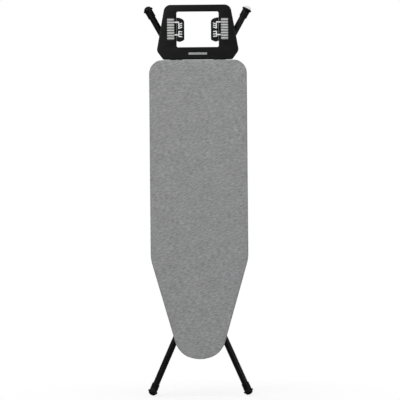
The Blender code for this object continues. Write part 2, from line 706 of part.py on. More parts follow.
def build_rest_arm(side):
    """Flat steel arm from the tail rib to the rest, with a raised seat at each end."""
    name = mirrored_name("rest_arm", side)
    low_x = side * REST_ARM_X - REST_ARM_WIDTH / 2
    high_x = side * REST_ARM_X + REST_ARM_WIDTH / 2
    seat_step = 0.001             # seats stand in from the arm's edges, and run this far into it
    arm = block(name, (low_x, ARM_FRONT_Y, ARM_LOW_Z), (high_x, ARM_BACK_Y, ARM_HIGH_Z))
    rib_seat = block(
        name + "_rib_seat",
        (low_x + seat_step, FITTING_Y, ARM_LOW_Z + seat_step),
        (high_x - seat_step, ARM_FRONT_Y + seat_step, ARM_LOW_Z + REST_ARM_WIDTH - seat_step),
    )
    rest_seat = block(
        name + "_rest_seat",
        (low_x + seat_step, REST_BACK_Y + CLEARANCE, ARM_HIGH_Z - REST_ARM_WIDTH + seat_step),
        (high_x - seat_step, ARM_FRONT_Y + seat_step, ARM_HIGH_Z - seat_step),
    )
    weld_on(arm, rib_seat)
    weld_on(arm, rest_seat)
    for place, z in (("rib", RIB_TAIL_Z), ("rest", REST_SCREW_Z)):
        hole = cylinder(
            f"{name}_{place}_hole",
            SCREW_RADIUS + CLEARANCE,
            (side * REST_ARM_X, ARM_FRONT_Y, z),
            "y",
            0.03,
            12,
        )
        cut(arm, hole)
    show_part(arm, BLACK_STEEL)


def build_screw(name, side, z, depth):
    """Pan-head screw driven from the back: head on the arm, shank towards the ironing face."""
    head_edge = SCREW_HEAD_RADIUS * 0.7
    profile = [
        (0.0, SCREW_HEAD_LENGTH),
        (head_edge, SCREW_HEAD_LENGTH),
        (SCREW_HEAD_RADIUS, SCREW_HEAD_LENGTH * 0.5),
        (SCREW_HEAD_RADIUS, 0.0),
        (SCREW_RADIUS, 0.0),
        (SCREW_RADIUS, -depth),
        (0.0, -depth),
    ]
    screw = turned(name, profile, 12)
    screw.location = (side * REST_ARM_X, ARM_BACK_Y + CLEARANCE, z)
    screw.rotation_euler = (math.radians(-90), 0.0, 0.0)
    show_part(screw, ZINC_STEEL)


def build_heat_pad(side):
    """Ribbed silicone pad on the rest's side bar."""
    name = mirrored_name("heat_pad", side)
    back = REST_FRONT_Y - CLEARANCE
    front = back - HEAT_PAD_BASE
    low_x, high_x = sorted((side * HEAT_PAD_INNER, side * (HEAT_PAD_INNER + HEAT_PAD_WIDTH)))
    bottom = HEAT_PAD_TOP - HEAT_PAD_LENGTH
    pad = prism(
        name, [ribbed_profile(front, back, bottom, HEAT_PAD_TOP, RIB_PITCH)], "x", low_x, high_x
    )
    show_part(pad, PALE_SILICONE)


def ribbed_profile(front, back, bottom, top, pitch):
    """Side view (y, z) of a strip whose front face carries round ribs at an even pitch."""
    count = max(1, int((top - bottom) / pitch))
    margin = ((top - bottom) - count * pitch) / 2
    outline = [(back, bottom), (front, bottom)]
    for number in range(count):
        middle = bottom + margin + (number + 0.5) * pitch
        half = min(RIB_BUMP_WIDTH, pitch * 0.6) / 2
        outline += [
            (front, middle - half),
            (front - RIB_BUMP_HEIGHT, middle - half * 0.45),
            (front - RIB_BUMP_HEIGHT, middle + half * 0.45),
            (front, middle + half),
        ]
    outline += [(front, top), (back, top)]
    return outline


def build_badge():
    """Plain pale inlay strip on the rest's lower bar."""
    middle_z = REST_BOTTOM_Z + REST_BOTTOM_BAR * 0.47
    outline = rounded_corners(
        [
            (x, middle_z + rise, BADGE_HEIGHT * 0.3)
            for x, rise in rectangle(
                -BADGE_HALF_WIDTH, BADGE_HALF_WIDTH, -BADGE_HEIGHT / 2, BADGE_HEIGHT / 2
            )
        ],
        3,
    )
    front = REST_FRONT_Y - CLEARANCE
    badge = prism("rest_badge", [outline], "y", front - BADGE_THICKNESS, front)
    show_part(badge, PALE_SILICONE)


# ---- wings -----------------------------------------------------------------------------------------------
WING_PLATE_FRONT_Y = REST_FRONT_Y + WING_PLATE_INSET
WING_PLATE_BACK_Y = WING_PLATE_FRONT_Y + WING_THICKNESS
STRAP_BACK_Y = WING_PLATE_FRONT_Y - STRAP_GAP
STRAP_FRONT_Y = WING_AXIS_Y - WING_KNUCKLE_RADIUS * 0.6


def build_wing(side):
    """Side stop that lies in the opening and turns up on a pin, with its two straps."""
    outer_x = REST_OPENING_HALF_WIDTH - WING_OPENING_GAP
    outline = [
        (outer_x, WING_BOTTOM_Z),
        (outer_x, WING_TOP_Z),
        (WING_INNER_X, WING_TOP_Z - WING_CHAMFER_TOP),
        (WING_INNER_X, WING_BOTTOM_Z + WING_CHAMFER_BOTTOM),
        (WING_INNER_X + WING_CHAMFER_BOTTOM_WIDTH, WING_BOTTOM_Z),
    ]
    rounded = rounded_corners([(side * x, z, 0.0022) for x, z in outline], 3)
    wing = prism(mirrored_name("wing", side), [rounded], "y", WING_PLATE_FRONT_Y, WING_PLATE_BACK_Y)
    round_edges(wing, 0.0008, 1)
    show_part(wing, BLACK_PLASTIC)
    pin = cylinder(
        mirrored_name("wing_pin", side),
        WING_PIN_RADIUS,
        (side * WING_AXIS_X, WING_AXIS_Y, WING_AXIS_Z),
        "z",
        HEAT_PAD_LENGTH,
        12,
    )
    show_part(pin, BLACK_STEEL)
    for level, places in (("upper", STRAP_UPPER), ("lower", STRAP_LOWER)):
        build_strap(side, level, *places)


def comb_outline(side, arm_z, teeth, lean):
    """End of a strap in (x, z): a solid edge from its arm to its last tooth, and slanted teeth."""
    root = STRAP_COMB_OUTER_X - STRAP_SPINE
    half = STRAP_TOOTH / 2
    top = max(arm_z + STRAP_ARM_WIDTH / 2 - 2 * CLEARANCE, teeth[0] + half)
    outline = [(STRAP_COMB_OUTER_X, teeth[-1] - half), (STRAP_COMB_OUTER_X, top), (root, top)]
    for z in teeth:
        outline += [(root, z + half), (STRAP_INNER_X, z + lean + half)]
        outline += [(STRAP_INNER_X, z + lean - half), (root, z - half)]
    return [(side * x, z) for x, z in dict.fromkeys(outline)]


def build_strap(side, level, arm_z, teeth, lean):
    """Pale hinge strap: an eye on the pin, an arm over the wing and an end cut into teeth."""
    name = mirrored_name(f"wing_strap_{level}", side)
    comb = comb_outline(side, arm_z, teeth, lean)
    strap = prism(name, [comb], "y", STRAP_BACK_Y - STRAP_BASE, STRAP_BACK_Y)
    arm_x = sorted((side * (STRAP_COMB_OUTER_X - STRAP_SPINE / 2), side * WING_AXIS_X))
    arm = block(
        name + "_arm",
        (arm_x[0], STRAP_FRONT_Y, arm_z - STRAP_ARM_WIDTH / 2),
        (arm_x[1], STRAP_BACK_Y - 0.00005, arm_z + STRAP_ARM_WIDTH / 2),
    )
    eye = cylinder(
        name + "_eye",
        WING_KNUCKLE_RADIUS,
        (side * WING_AXIS_X, WING_AXIS_Y, arm_z),
        "z",
        STRAP_ARM_WIDTH + 0.0004,
        16,
    )
    bore = cylinder(
        name + "_bore",
        WING_PIN_RADIUS + HINGE_CLEARANCE,
        (side * WING_AXIS_X, WING_AXIS_Y, arm_z),
        "z",
        0.03,
        12,
    )
    weld_on(arm, eye)
    weld_on(strap, arm)
    cut(strap, bore)
    show_part(strap, PALE_SILICONE)


# ---- leg tubes -------------------------------------------------------------------------------------------
def bent_path(start, corner, end, radius, steps=5):
    """Points from start to end with the corner rounded by an arc of the given radius."""
    start, corner, end = Vector(start), Vector(corner), Vector(end)
    before = (start - corner).normalized()
    after = (end - corner).normalized()
    half = before.angle(after) / 2
    centre = corner + (before + after).normalized() * (radius / math.sin(half))
    first = corner + before * (radius / math.tan(half)) - centre
    last = corner + after * (radius / math.tan(half)) - centre
    turn = first.angle(last)
    path = [start]
    for step in range(steps + 1):
        share = step / steps
        blend = (
            first * math.sin((1 - share) * turn) + last * math.sin(share * turn)
        ) / math.sin(turn)
        path.append(centre + blend)
    return path + [end]


def tube(name, path, radius, wall, resolution=6):
    """Steel tube, open at both ends, along a path of points."""
    curve = bpy.data.curves.new(name, "CURVE")
    curve.dimensions = "3D"
    curve.bevel_depth = radius
    curve.bevel_resolution = resolution
    curve.use_fill_caps = False
    poly_spline(curve, [tuple(place) for place in path], False)
    made = bpy.data.objects.new(name, curve)
    CUTTERS.objects.link(made)
    made = curve_to_mesh(made)
    face_outwards(made.data, path[0], path[1], radius)
    shell = made.modifiers.new("Wall", "SOLIDIFY")
    shell.thickness = wall
    shell.offset = -1.0
    shell.use_even_offset = True
    return made


def face_outwards(mesh, start, after, radius):
    """Turn an open tube's faces away from its middle line."""
    shape = bmesh.new()
    shape.from_mesh(mesh)
    axis = (Vector(after) - Vector(start)).normalized()
    shape.faces.ensure_lookup_table()
    nearest = min(shape.faces, key=lambda face: (face.calc_center_median() - Vector(start)).length)
    spoke = nearest.calc_center_median() - Vector(start)
    spoke -= axis * spoke.dot(axis)
    if nearest.normal.dot(spoke) < 0.0:
        bmesh.ops.reverse_faces(shape, faces=shape.faces)
    shape.to_mesh(mesh)
    shape.free()


def foot_half_spacing(upwards):
    return UPPER_FOOT_HALF_SPACING if upwards > 0 else LOWER_FOOT_HALF_SPACING


def foot_axis(side, splay, tip_z, upwards):
    """Tip of a foot and the direction from it back into its leg."""
    tip = Vector((side * foot_half_spacing(upwards), FRAME_Y, tip_z))
    into_leg = Vector((-side * math.sin(splay), 0.0, -upwards * math.cos(splay)))
    return tip, into_leg


def leg_path(side, spacing, splay, tip_z, upwards, end_z):
    """Middle line of a leg: from inside its foot, in to the bend, then straight to its pivot end."""
    tip, into_leg = foot_axis(side, splay, tip_z, upwards)
    start = tip + into_leg * (FOOT_SEAT + CLEARANCE)
    travel = (foot_half_spacing(upwards) - spacing) / math.sin(splay)
    corner = tip + into_leg * travel
    end = (side * spacing, FRAME_Y, end_z)
    return bent_path(start, corner, end, TUBE_BEND_RADIUS)


def cross_hole(name, side, spacing, z, radius):
    return cylinder(name, radius, (side * spacing, FRAME_Y, z), "x", 4 * TUBE_RADIUS, 16)


def build_outer_leg(side):
    name = mirrored_name("outer_leg", side)
    end_z = PIVOT_Z - TUBE_END_PAST_PIVOT
    path = leg_path(side, OUTER_HALF_SPACING, OUTER_SPLAY, OUTER_TIP_Z, 1, end_z)
    leg = tube(name, path, TUBE_RADIUS, TUBE_WALL)
    bolt_hole = BOLT_RADIUS + HINGE_CLEARANCE
    cut(leg, cross_hole(name + "_pivot_hole", side, OUTER_HALF_SPACING, PIVOT_Z, bolt_hole))
    cut(leg, cross_hole(name + "_cross_hole", side, OUTER_HALF_SPACING, CROSS_Z, bolt_hole))
    show_part(leg, BLACK_STEEL)
    build_plug(mirrored_name("outer_plug", side), (side * OUTER_HALF_SPACING, FRAME_Y, end_z), -1)


def build_inner_leg(side):
    name = mirrored_name("inner_leg", side)
    end_z = SLIDER_Z + TUBE_END_PAST_PIVOT
    path = leg_path(side, INNER_HALF_SPACING, INNER_SPLAY, INNER_TIP_Z, -1, end_z)
    leg = tube(name, path, TUBE_RADIUS, TUBE_WALL)
    cut(
        leg,
        cross_hole(
            name + "_cross_hole", side, INNER_HALF_SPACING, CROSS_Z, BOLT_RADIUS + HINGE_CLEARANCE
        ),
    )
    cut(leg, cross_hole(name + "_slider_hole", side, INNER_HALF_SPACING, SLIDER_Z, SLOT_HALF))
    show_part(leg, BLACK_STEEL)
    build_plug(mirrored_name("inner_plug", side), (side * INNER_HALF_SPACING, FRAME_Y, end_z), 1)


def build_plug(name, end, upwards):
    """Moulded plug in the cut end of a tube."""
    inner_radius = TUBE_RADIUS - TUBE_WALL - CLEARANCE
    rim_radius = TUBE_RADIUS - 0.0003
    profile = [
        (0.0, CLEARANCE + PLUG_FLANGE),
        (rim_radius * 0.8, CLEARANCE + PLUG_FLANGE),
        (rim_radius, CLEARANCE + PLUG_FLANGE * 0.4),
        (rim_radius, CLEARANCE),
        (inner_radius, CLEARANCE),
        (inner_radius, CLEARANCE - PLUG_DEPTH),
        (0.0, CLEARANCE - PLUG_DEPTH),
    ]
    plug = turned(name, profile, 16)
    plug.location = end
    if upwards < 0:
        plug.rotation_euler = (math.radians(180), 0.0, 0.0)
    show_part(plug, BLACK_PLASTIC)


def build_brace(name, spacing, z):
    """Cross tube coped to the round of both legs."""
    path = [(-spacing, FRAME_Y, z), (spacing, FRAME_Y, z)]
    brace = tube(name, path, BRACE_RADIUS, BRACE_WALL, 4)
    for side in SIDES:
        cope = cylinder(
            f"{name}_cope_{side}",
            TUBE_RADIUS + CLEARANCE,
            (side * spacing, FRAME_Y, z),
            "z",
            6 * BRACE_RADIUS,
            32,
        )
        cut(brace, cope)
    show_part(brace, BLACK_STEEL)


# ---- feet ------------------------------------------------------------------------------------------------
def dome_profile(steps=5):
    """Rounded end from its full radius down to the tip, heights from the tip."""
    points = []
    for step in range(steps + 1):
        angle = math.pi / 2 * step / steps
        points.append((FOOT_DOME_RADIUS * math.cos(angle), FOOT_DOME_LENGTH * (1 - math.sin(angle))))
    points[-1] = (0.0, 0.0)
    return points


def build_foot(name, side, splay, tip_z, upwards, adjustable):
    """Moulded foot: sleeve on the tube, flange and dome, or a threaded seat for a levelling glide."""
    bore = TUBE_RADIUS + CLEARANCE
    flange_top = FOOT_DOME_LENGTH + FOOT_FLANGE_LENGTH
    chamfer = 0.0015
    profile = [
        (0.0, FOOT_SEAT),
        (bore, FOOT_SEAT),
        (bore, FOOT_LENGTH),
        (FOOT_SLEEVE_RADIUS - 0.0008, FOOT_LENGTH),
        (FOOT_SLEEVE_RADIUS, FOOT_LENGTH - chamfer),
        (FOOT_SLEEVE_RADIUS, flange_top + chamfer),
        (FOOT_FLANGE_RADIUS - chamfer, flange_top),
        (FOOT_FLANGE_RADIUS, flange_top - chamfer),
        (FOOT_FLANGE_RADIUS, FOOT_DOME_LENGTH + chamfer),
        (FOOT_FLANGE_RADIUS - chamfer, FOOT_DOME_LENGTH),
    ]
    if adjustable:
        hole = GLIDE_STEM_RADIUS + HINGE_CLEARANCE
        profile = [(hole, FOOT_DOME_LENGTH), (hole, FOOT_SEAT)] + profile[1:] + [(hole, FOOT_DOME_LENGTH)]
    else:
        profile += dome_profile()
    place_on_foot_axis(turned(name, profile), side, splay, tip_z, upwards, BLACK_PLASTIC)


def build_glide(name, side, splay, tip_z, upwards):
    """Screw-in levelling glide: pale dome with a stem that runs up into the hollow leg."""
    top = FOOT_DOME_LENGTH - CLEARANCE
    dome = [(radius, min(height, top)) for radius, height in dome_profile()]
    profile = [
        (0.0, top + GLIDE_STEM_LENGTH),
        (GLIDE_STEM_RADIUS, top + GLIDE_STEM_LENGTH),
        (GLIDE_STEM_RADIUS, top),
    ] + dome
    place_on_foot_axis(turned(name, profile), side, splay, tip_z, upwards, PALE_SILICONE)


def place_on_foot_axis(piece, side, splay, tip_z, upwards, finish):
    tip, into_leg = foot_axis(side, splay, tip_z, upwards)
    piece.location = tip
    piece.rotation_mode = "QUATERNION"
    piece.rotation_quaternion = Vector((0.0, 0.0, 1.0)).rotation_difference(into_leg)
    show_part(piece, finish)


# ---- pivots ----------------------------------------------------------------------------------------------
EAR_GAP = TUBE_RADIUS + CLEARANCE


def build_bracket(side):
    """Pressed U bracket on the pivot rib, with an ear each side of the outer leg."""
    name = mirrored_name("pivot_bracket", side)
    middle = side * OUTER_HALF_SPACING
    outer, inner = EAR_GAP + BRACKET_SHEET, EAR_GAP
    ear_top = FRAME_Y + BRACKET_EAR_REACH
    section = [
        (middle - outer, FITTING_Y),
        (middle + outer, FITTING_Y),
        (middle + outer, ear_top),
        (middle + inner, ear_top),
        (middle + inner, FITTING_Y + BRACKET_SHEET),
        (middle - inner, FITTING_Y + BRACKET_SHEET),
        (middle - inner, ear_top),
        (middle - outer, ear_top),
    ]
    low, high = PIVOT_Z - BRACKET_HEIGHT / 2, PIVOT_Z + BRACKET_HEIGHT / 2
    bracket = prism(name, [section], "z", low, high)
    for end, z in (("low", low), ("high", high)):
        corner = block(
            f"{name}_{end}_corner",
            (middle - 2 * outer, ear_top - BRACKET_EAR_REACH * 0.6, z - BRACKET_EAR_REACH * 0.6),
            (middle + 2 * outer, ear_top + 0.01, z + BRACKET_EAR_REACH * 0.6),
        )
        corner.rotation_euler = (math.radians(45), 0.0, 0.0)
        corner.location = (middle, ear_top, z)
        cut(bracket, corner)
    bolt_hole = cylinder(
        name + "_bolt_hole",
        BOLT_RADIUS + HINGE_CLEARANCE,
        (middle, FRAME_Y, PIVOT_Z),
        "x",
        4 * outer,
        16,
    )
    cut(bracket, bolt_hole)
    show_part(bracket, GREY_STEEL)
    head_x = OUTER_HALF_SPACING + outer + CLEARANCE
    nut_x = OUTER_HALF_SPACING - outer - CLEARANCE
    build_bolt(mirrored_name("pivot_bolt", side), side, PIVOT_Z, head_x, nut_x, BLACK_STEEL)
    build_nut(mirrored_name("pivot_nut", side), side, PIVOT_Z, nut_x)


def build_bolt(name, side, z, head_x, nut_x, finish):
    """Button-head bolt along X: head on the outer side, shank end flush past its nut."""
    length = head_x - nut_x + NUT_LENGTH + CLEARANCE
    profile = [
        (0.0, BOLT_HEAD_LENGTH),
        (BOLT_HEAD_RADIUS * 0.55, BOLT_HEAD_LENGTH * 0.92),
        (BOLT_HEAD_RADIUS * 0.9, BOLT_HEAD_LENGTH * 0.5),
        (BOLT_HEAD_RADIUS, 0.0),
        (BOLT_RADIUS, 0.0),
        (BOLT_RADIUS, -length),
        (0.0, -length),
    ]
    bolt = turned(name, profile, 16)
    bolt.location = (side * head_x, FRAME_Y, z)
    bolt.rotation_euler = (0.0, math.radians(90 * side), 0.0)
    show_part(bolt, finish)


def build_nut(name, side, z, face_x):
    """Hexagon nut on the inner end of a bolt."""
    centre_x = side * (face_x - NUT_LENGTH / 2)
    nut = cylinder(name, NUT_RADIUS, (centre_x, FRAME_Y, z), "x", NUT_LENGTH, 6)
    bore = cylinder(
        name + "_bore", BOLT_RADIUS + CLEARANCE, (centre_x, FRAME_Y, z), "x", 3 * NUT_LENGTH, 16
    )
    cut(nut, bore)
    show_part(nut, ZINC_STEEL)


def build_crossing(side):
    """Bolt, nut and spacer where an inner leg crosses an outer leg."""
    head_x = OUTER_HALF_SPACING + TUBE_RADIUS + CLEARANCE
    nut_x = INNER_HALF_SPACING - TUBE_RADIUS - CLEARANCE
    build_bolt(mirrored_name("cross_bolt", side), side, CROSS_Z, head_x, nut_x, ZINC_STEEL)
    build_nut(mirrored_name("cross_nut", side), side, CROSS_Z, nut_x)
    bore = BOLT_RADIUS + CLEARANCE
    half = SPACER_LENGTH / 2
    outer = BOLT_RADIUS + 0.0045
    ring = [(bore, -half), (bore, half), (outer, half), (outer, -half), (bore, -half)]
    spacer = turned(mirrored_name("cross_spacer", side), ring, 20)
    middle = (OUTER_HALF_SPACING + INNER_HALF_SPACING) / 2
    spacer.location = (side * middle, FRAME_Y, CROSS_Z)
    spacer.rotation_euler = (0.0, math.radians(90), 0.0)
    show_part(spacer, BLACK_PLASTIC)


# ---- slider, carriage, clamp and release -----------------------------------------------------------------
def build_slider_bar():
    """Steel bar through both inner legs and the track's slots, headed at each end."""
    half = INNER_HALF_SPACING + TUBE_RADIUS + CLEARANCE
    end = half + SLIDER_HEAD_LENGTH
    profile = [
        (0.0, end),
        (SLIDER_HEAD_RADIUS * 0.8, end),
        (SLIDER_HEAD_RADIUS, half + SLIDER_HEAD_LENGTH * 0.4),
        (SLIDER_HEAD_RADIUS, half),
        (SLIDER_RADIUS, half),
        (SLIDER_RADIUS, -half),
        (SLIDER_HEAD_RADIUS, -half),
        (SLIDER_HEAD_RADIUS, -half - SLIDER_HEAD_LENGTH * 0.4),
        (SLIDER_HEAD_RADIUS * 0.8, -end),
        (0.0, -end),
    ]
    bar = turned("slider_bar", profile, 20)
    bar.location = (0.0, FRAME_Y, SLIDER_Z)
    bar.rotation_euler = (0.0, math.radians(90), 0.0)
    show_part(bar, ZINC_STEEL)


CARRIAGE_HALF_WIDTH = TRACK_HALF_WIDTH - TRACK_SHEET - CLEARANCE
CARRIAGE_FRONT_Y = FITTING_Y + TRACK_SHEET + CLEARANCE
CARRIAGE_BACK_Y = FRAME_Y + SLOT_HALF + CARRIAGE_WALL


def build_carriage():
    """Moulded slide block in the track, on the slider bar, forked for the clamp lever."""
    carriage = block(
        "slide_carriage",
        (-CARRIAGE_HALF_WIDTH, CARRIAGE_FRONT_Y, SLIDER_Z - CARRIAGE_FOOT),
        (CARRIAGE_HALF_WIDTH, CARRIAGE_BACK_Y, SLIDER_Z + CARRIAGE_TOP),
    )
    fork = block(
        "carriage_fork",
        (-FORK_HALF_WIDTH, CARRIAGE_FRONT_Y - CUT_PAST, SLIDER_Z - CARRIAGE_FOOT - CUT_PAST),
        (FORK_HALF_WIDTH, CARRIAGE_BACK_Y + CUT_PAST, SLIDER_Z - SLOT_HALF - FORK_WALL),
    )
    bar_bore = cylinder(
        "carriage_bar_bore", SLOT_HALF, (0.0, FRAME_Y, SLIDER_Z), "x", 4 * CARRIAGE_HALF_WIDTH, 20
    )
    pin_bore = cylinder(
        "carriage_pin_bore",
        CLAMP_PIN_RADIUS + HINGE_CLEARANCE,
        (0.0, CLAMP_PIN_Y, CLAMP_PIN_Z),
        "x",
        4 * CARRIAGE_HALF_WIDTH,
        12,
    )
    cut(carriage, fork)
    cut(carriage, bar_bore)
    cut(carriage, pin_bore)
    show_part(carriage, BLACK_PLASTIC)
    pin = cylinder(
        "clamp_pin",
        CLAMP_PIN_RADIUS,
        (0.0, CLAMP_PIN_Y, CLAMP_PIN_Z),
        "x",
        2 * CARRIAGE_HALF_WIDTH - 2 * CLEARANCE,
        12,
    )
    show_part(pin, ZINC_STEEL)


def build_lever():
    """Steel rocker: a shoe on the track's web, an eye on the pin and an arm that carries the paddle."""
    shoe_low, shoe_high = SHOE_Z - SHOE_WIDTH / 2, SHOE_Z + SHOE_WIDTH / 2
    shoe_tip_y = FITTING_Y + TRACK_SHEET + CLEARANCE
    eye_front_y = CLAMP_PIN_Y - LEVER_EYE_RADIUS
    eye_back_y = CLAMP_PIN_Y + LEVER_EYE_RADIUS
    eye_top_z = CLAMP_PIN_Z + LEVER_EYE_RADIUS
    arm_rise = 0.006              # height over which the arm steps out from the eye to the paddle
    arm_end_z = PADDLE_LOW_Z + PADDLE_HEIGHT * ARM_SHARE
    outline = [
        (shoe_tip_y, shoe_low),
        (CLAMP_PIN_Y + LEVER_EYE_RADIUS * 0.6, shoe_low),
        (eye_back_y, CLAMP_PIN_Z - LEVER_EYE_RADIUS * 0.4),
        (PADDLE_FRONT_Y + ARM_THICKNESS, eye_top_z),
        (PADDLE_FRONT_Y + ARM_THICKNESS, arm_end_z),
        (PADDLE_FRONT_Y, arm_end_z),
        (PADDLE_FRONT_Y, eye_top_z + arm_rise + 0.001),
        (eye_back_y, eye_top_z + 0.001),
        (CLAMP_PIN_Y, eye_top_z),
        (eye_front_y, CLAMP_PIN_Z + LEVER_EYE_RADIUS * 0.3),
        (eye_front_y, shoe_high),
        (shoe_tip_y, shoe_high),
    ]
    half = LEVER_THICKNESS / 2
    lever = prism("clamp_lever", [outline], "x", -half, half)
    bore = cylinder(
        "lever_bore",
        CLAMP_PIN_RADIUS + HINGE_CLEARANCE,
        (0.0, CLAMP_PIN_Y, CLAMP_PIN_Z),
        "x",
        4 * LEVER_THICKNESS,
        12,
    )
    cut(lever, bore)
    show_part(lever, ZINC_STEEL)


def build_paddle():
    """Finger paddle pressed over the lever's arm."""
    paddle_high_z = PADDLE_LOW_Z + PADDLE_HEIGHT
    low = (-PADDLE_HALF_WIDTH, PADDLE_FRONT_Y, PADDLE_LOW_Z)
    high = (PADDLE_HALF_WIDTH, PADDLE_FRONT_Y + PADDLE_THICKNESS, paddle_high_z)
    paddle = block("release_paddle", low, high)
    round_edges(paddle, PADDLE_EDGE_RADIUS)
    half_pocket = LEVER_THICKNESS / 2 + CLEARANCE
    pocket_back_y = PADDLE_FRONT_Y + ARM_THICKNESS + CLEARANCE
    pocket_top_z = PADDLE_LOW_Z + PADDLE_HEIGHT * ARM_SHARE + CLEARANCE
    pocket = block(
        "paddle_pocket",
        (-half_pocket, PADDLE_FRONT_Y - CUT_PAST, PADDLE_LOW_Z - CUT_PAST),
        (half_pocket, pocket_back_y, pocket_top_z),
    )
    cut(paddle, pocket)
    show_part(paddle, BLACK_PLASTIC)


def build_clamp_spring():
    """Torsion spring round the clamp's pin: a few close turns beside the lever."""
    wire = 0.0006
    coil_radius = CLAMP_PIN_RADIUS + HINGE_CLEARANCE + wire + 0.0005
    start_x = LEVER_THICKNESS / 2 + wire + 0.0005
    turns = 2.5
    steps_a_turn = 10
    pitch = 2 * wire + CLEARANCE
    path = []
    for step in range(int(turns * steps_a_turn) + 1):
        angle = 2 * math.pi * step / steps_a_turn
        path.append(
            (
                start_x + pitch * step / steps_a_turn,
                CLAMP_PIN_Y + coil_radius * math.cos(angle),
                CLAMP_PIN_Z + coil_radius * math.sin(angle),
            )
        )
    curve = bpy.data.curves.new("clamp_spring", "CURVE")
    curve.dimensions = "3D"
    curve.bevel_depth = wire
    curve.bevel_resolution = 1
    curve.use_fill_caps = True
    poly_spline(curve, path, False)
    made = bpy.data.objects.new("clamp_spring", curve)
    CUTTERS.objects.link(made)
    show_part(curve_to_mesh(made), ZINC_STEEL)


# ---- build everything ------------------------------------------------------------------------------------
build_cover()
build_board_core()
build_rib("rib_nose", RIB_NOSE_Z)
build_rib("rib_pivot", PIVOT_Z)
build_rib("rib_middle", RIB_MIDDLE_Z)
build_rib("rib_tail", RIB_TAIL_Z)
build_track()
build_rest_frame()
build_badge()
for board_side in SIDES:
    build_rest_arm(board_side)
    build_screw(
        mirrored_name("rib_screw", board_side),
        board_side,
        RIB_TAIL_Z,
        ARM_BACK_Y - FITTING_Y,
    )
    build_screw(
        mirrored_name("rest_screw", board_side),
        board_side,
        REST_SCREW_Z,
        ARM_BACK_Y - REST_BACK_Y + REST_SCREW_DEPTH - 0.001,
    )
    build_heat_pad(board_side)
    build_wing(board_side)
    build_bracket(board_side)
    build_outer_leg(board_side)
    build_inner_leg(board_side)
    build_crossing(board_side)
    build_foot(
        mirrored_name("upper_foot", board_side), board_side, OUTER_SPLAY, OUTER_TIP_Z, 1, board_side > 0
    )
    build_foot(
        mirrored_name("lower_foot", board_side), board_side, INNER_SPLAY, INNER_TIP_Z, -1, False
    )
build_glide("levelling_glide", 1, OUTER_SPLAY, OUTER_TIP_Z, 1)
build_brace("outer_brace", OUTER_HALF_SPACING, OUTER_BRACE_Z)
build_brace("inner_brace", INNER_HALF_SPACING, INNER_BRACE_Z)
build_slider_bar()
build_carriage()
build_lever()
build_paddle()
build_clamp_spring()

# ---- joints: an empty on each axis carries the pieces that move with it ------------------------------------
def joint_empty(name, place, carrier=None):
    """Empty at a place in the frame, carried by the empty of the joint before it."""
    empty = bpy.data.objects.new(name, None)
    PARTS.objects.link(empty)
    empty.location = place
    empty.empty_display_size = TUBE_RADIUS
    if carrier:
        put_on(carrier, empty)
    return empty


def put_on(carrier, carried):
    """Parent an object to an empty and leave it where it is."""
    bpy.context.view_layer.update()
    carried.parent = carrier
    carried.matrix_parent_inverse = carrier.matrix_world.inverted()


def carry(carrier, names):
    for name in names:
        put_on(carrier, bpy.data.objects[name])


def both(*bases):
    return [mirrored_name(base, side) for base in bases for side in SIDES]


glide_tip = foot_axis(1, OUTER_SPLAY, OUTER_TIP_Z, 1)[0]
fold_empty = joint_empty("fold_axis", (0.0, FRAME_Y, PIVOT_Z))
cross_empty = joint_empty("crossing_axis", (0.0, FRAME_Y, CROSS_Z), fold_empty)
slider_empty = joint_empty("slider_axis", (0.0, FRAME_Y, SLIDER_Z), cross_empty)
clamp_empty = joint_empty("clamp_axis", (0.0, CLAMP_PIN_Y, CLAMP_PIN_Z), slider_empty)
glide_empty = joint_empty("glide_axis", glide_tip, fold_empty)
carry(fold_empty, both("outer_leg", "outer_plug", "upper_foot") + ["outer_brace"])
carry(cross_empty, both("inner_leg", "inner_plug", "lower_foot") + ["inner_brace", "slider_bar"])
carry(cross_empty, both("cross_bolt", "cross_nut", "cross_spacer"))
carry(slider_empty, ["slide_carriage", "clamp_pin", "clamp_spring"])
carry(clamp_empty, ["clamp_lever", "release_paddle"])
carry(glide_empty, ["levelling_glide"])
for board_side in SIDES:
    axis_place = (board_side * WING_AXIS_X, WING_AXIS_Y, WING_AXIS_Z)
    wing_empty = joint_empty(mirrored_name("wing_axis", board_side), axis_place)
    for wing_piece in ("wing", "wing_strap_upper", "wing_strap_lower"):
        put_on(wing_empty, bpy.data.objects[mirrored_name(wing_piece, board_side)])
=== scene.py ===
"""Folding ironing board with its iron rest, folded flat: finished surfaces over the fixed frame of solids.

Metres.  X runs across the board, Z up from the nose to the tail, and Y from the ironing face to the legs.
"""
import json
import math
import random

import bmesh
import bpy
from mathutils import Euler, Matrix, Vector
from mathutils.geometry import delaunay_2d_cdt


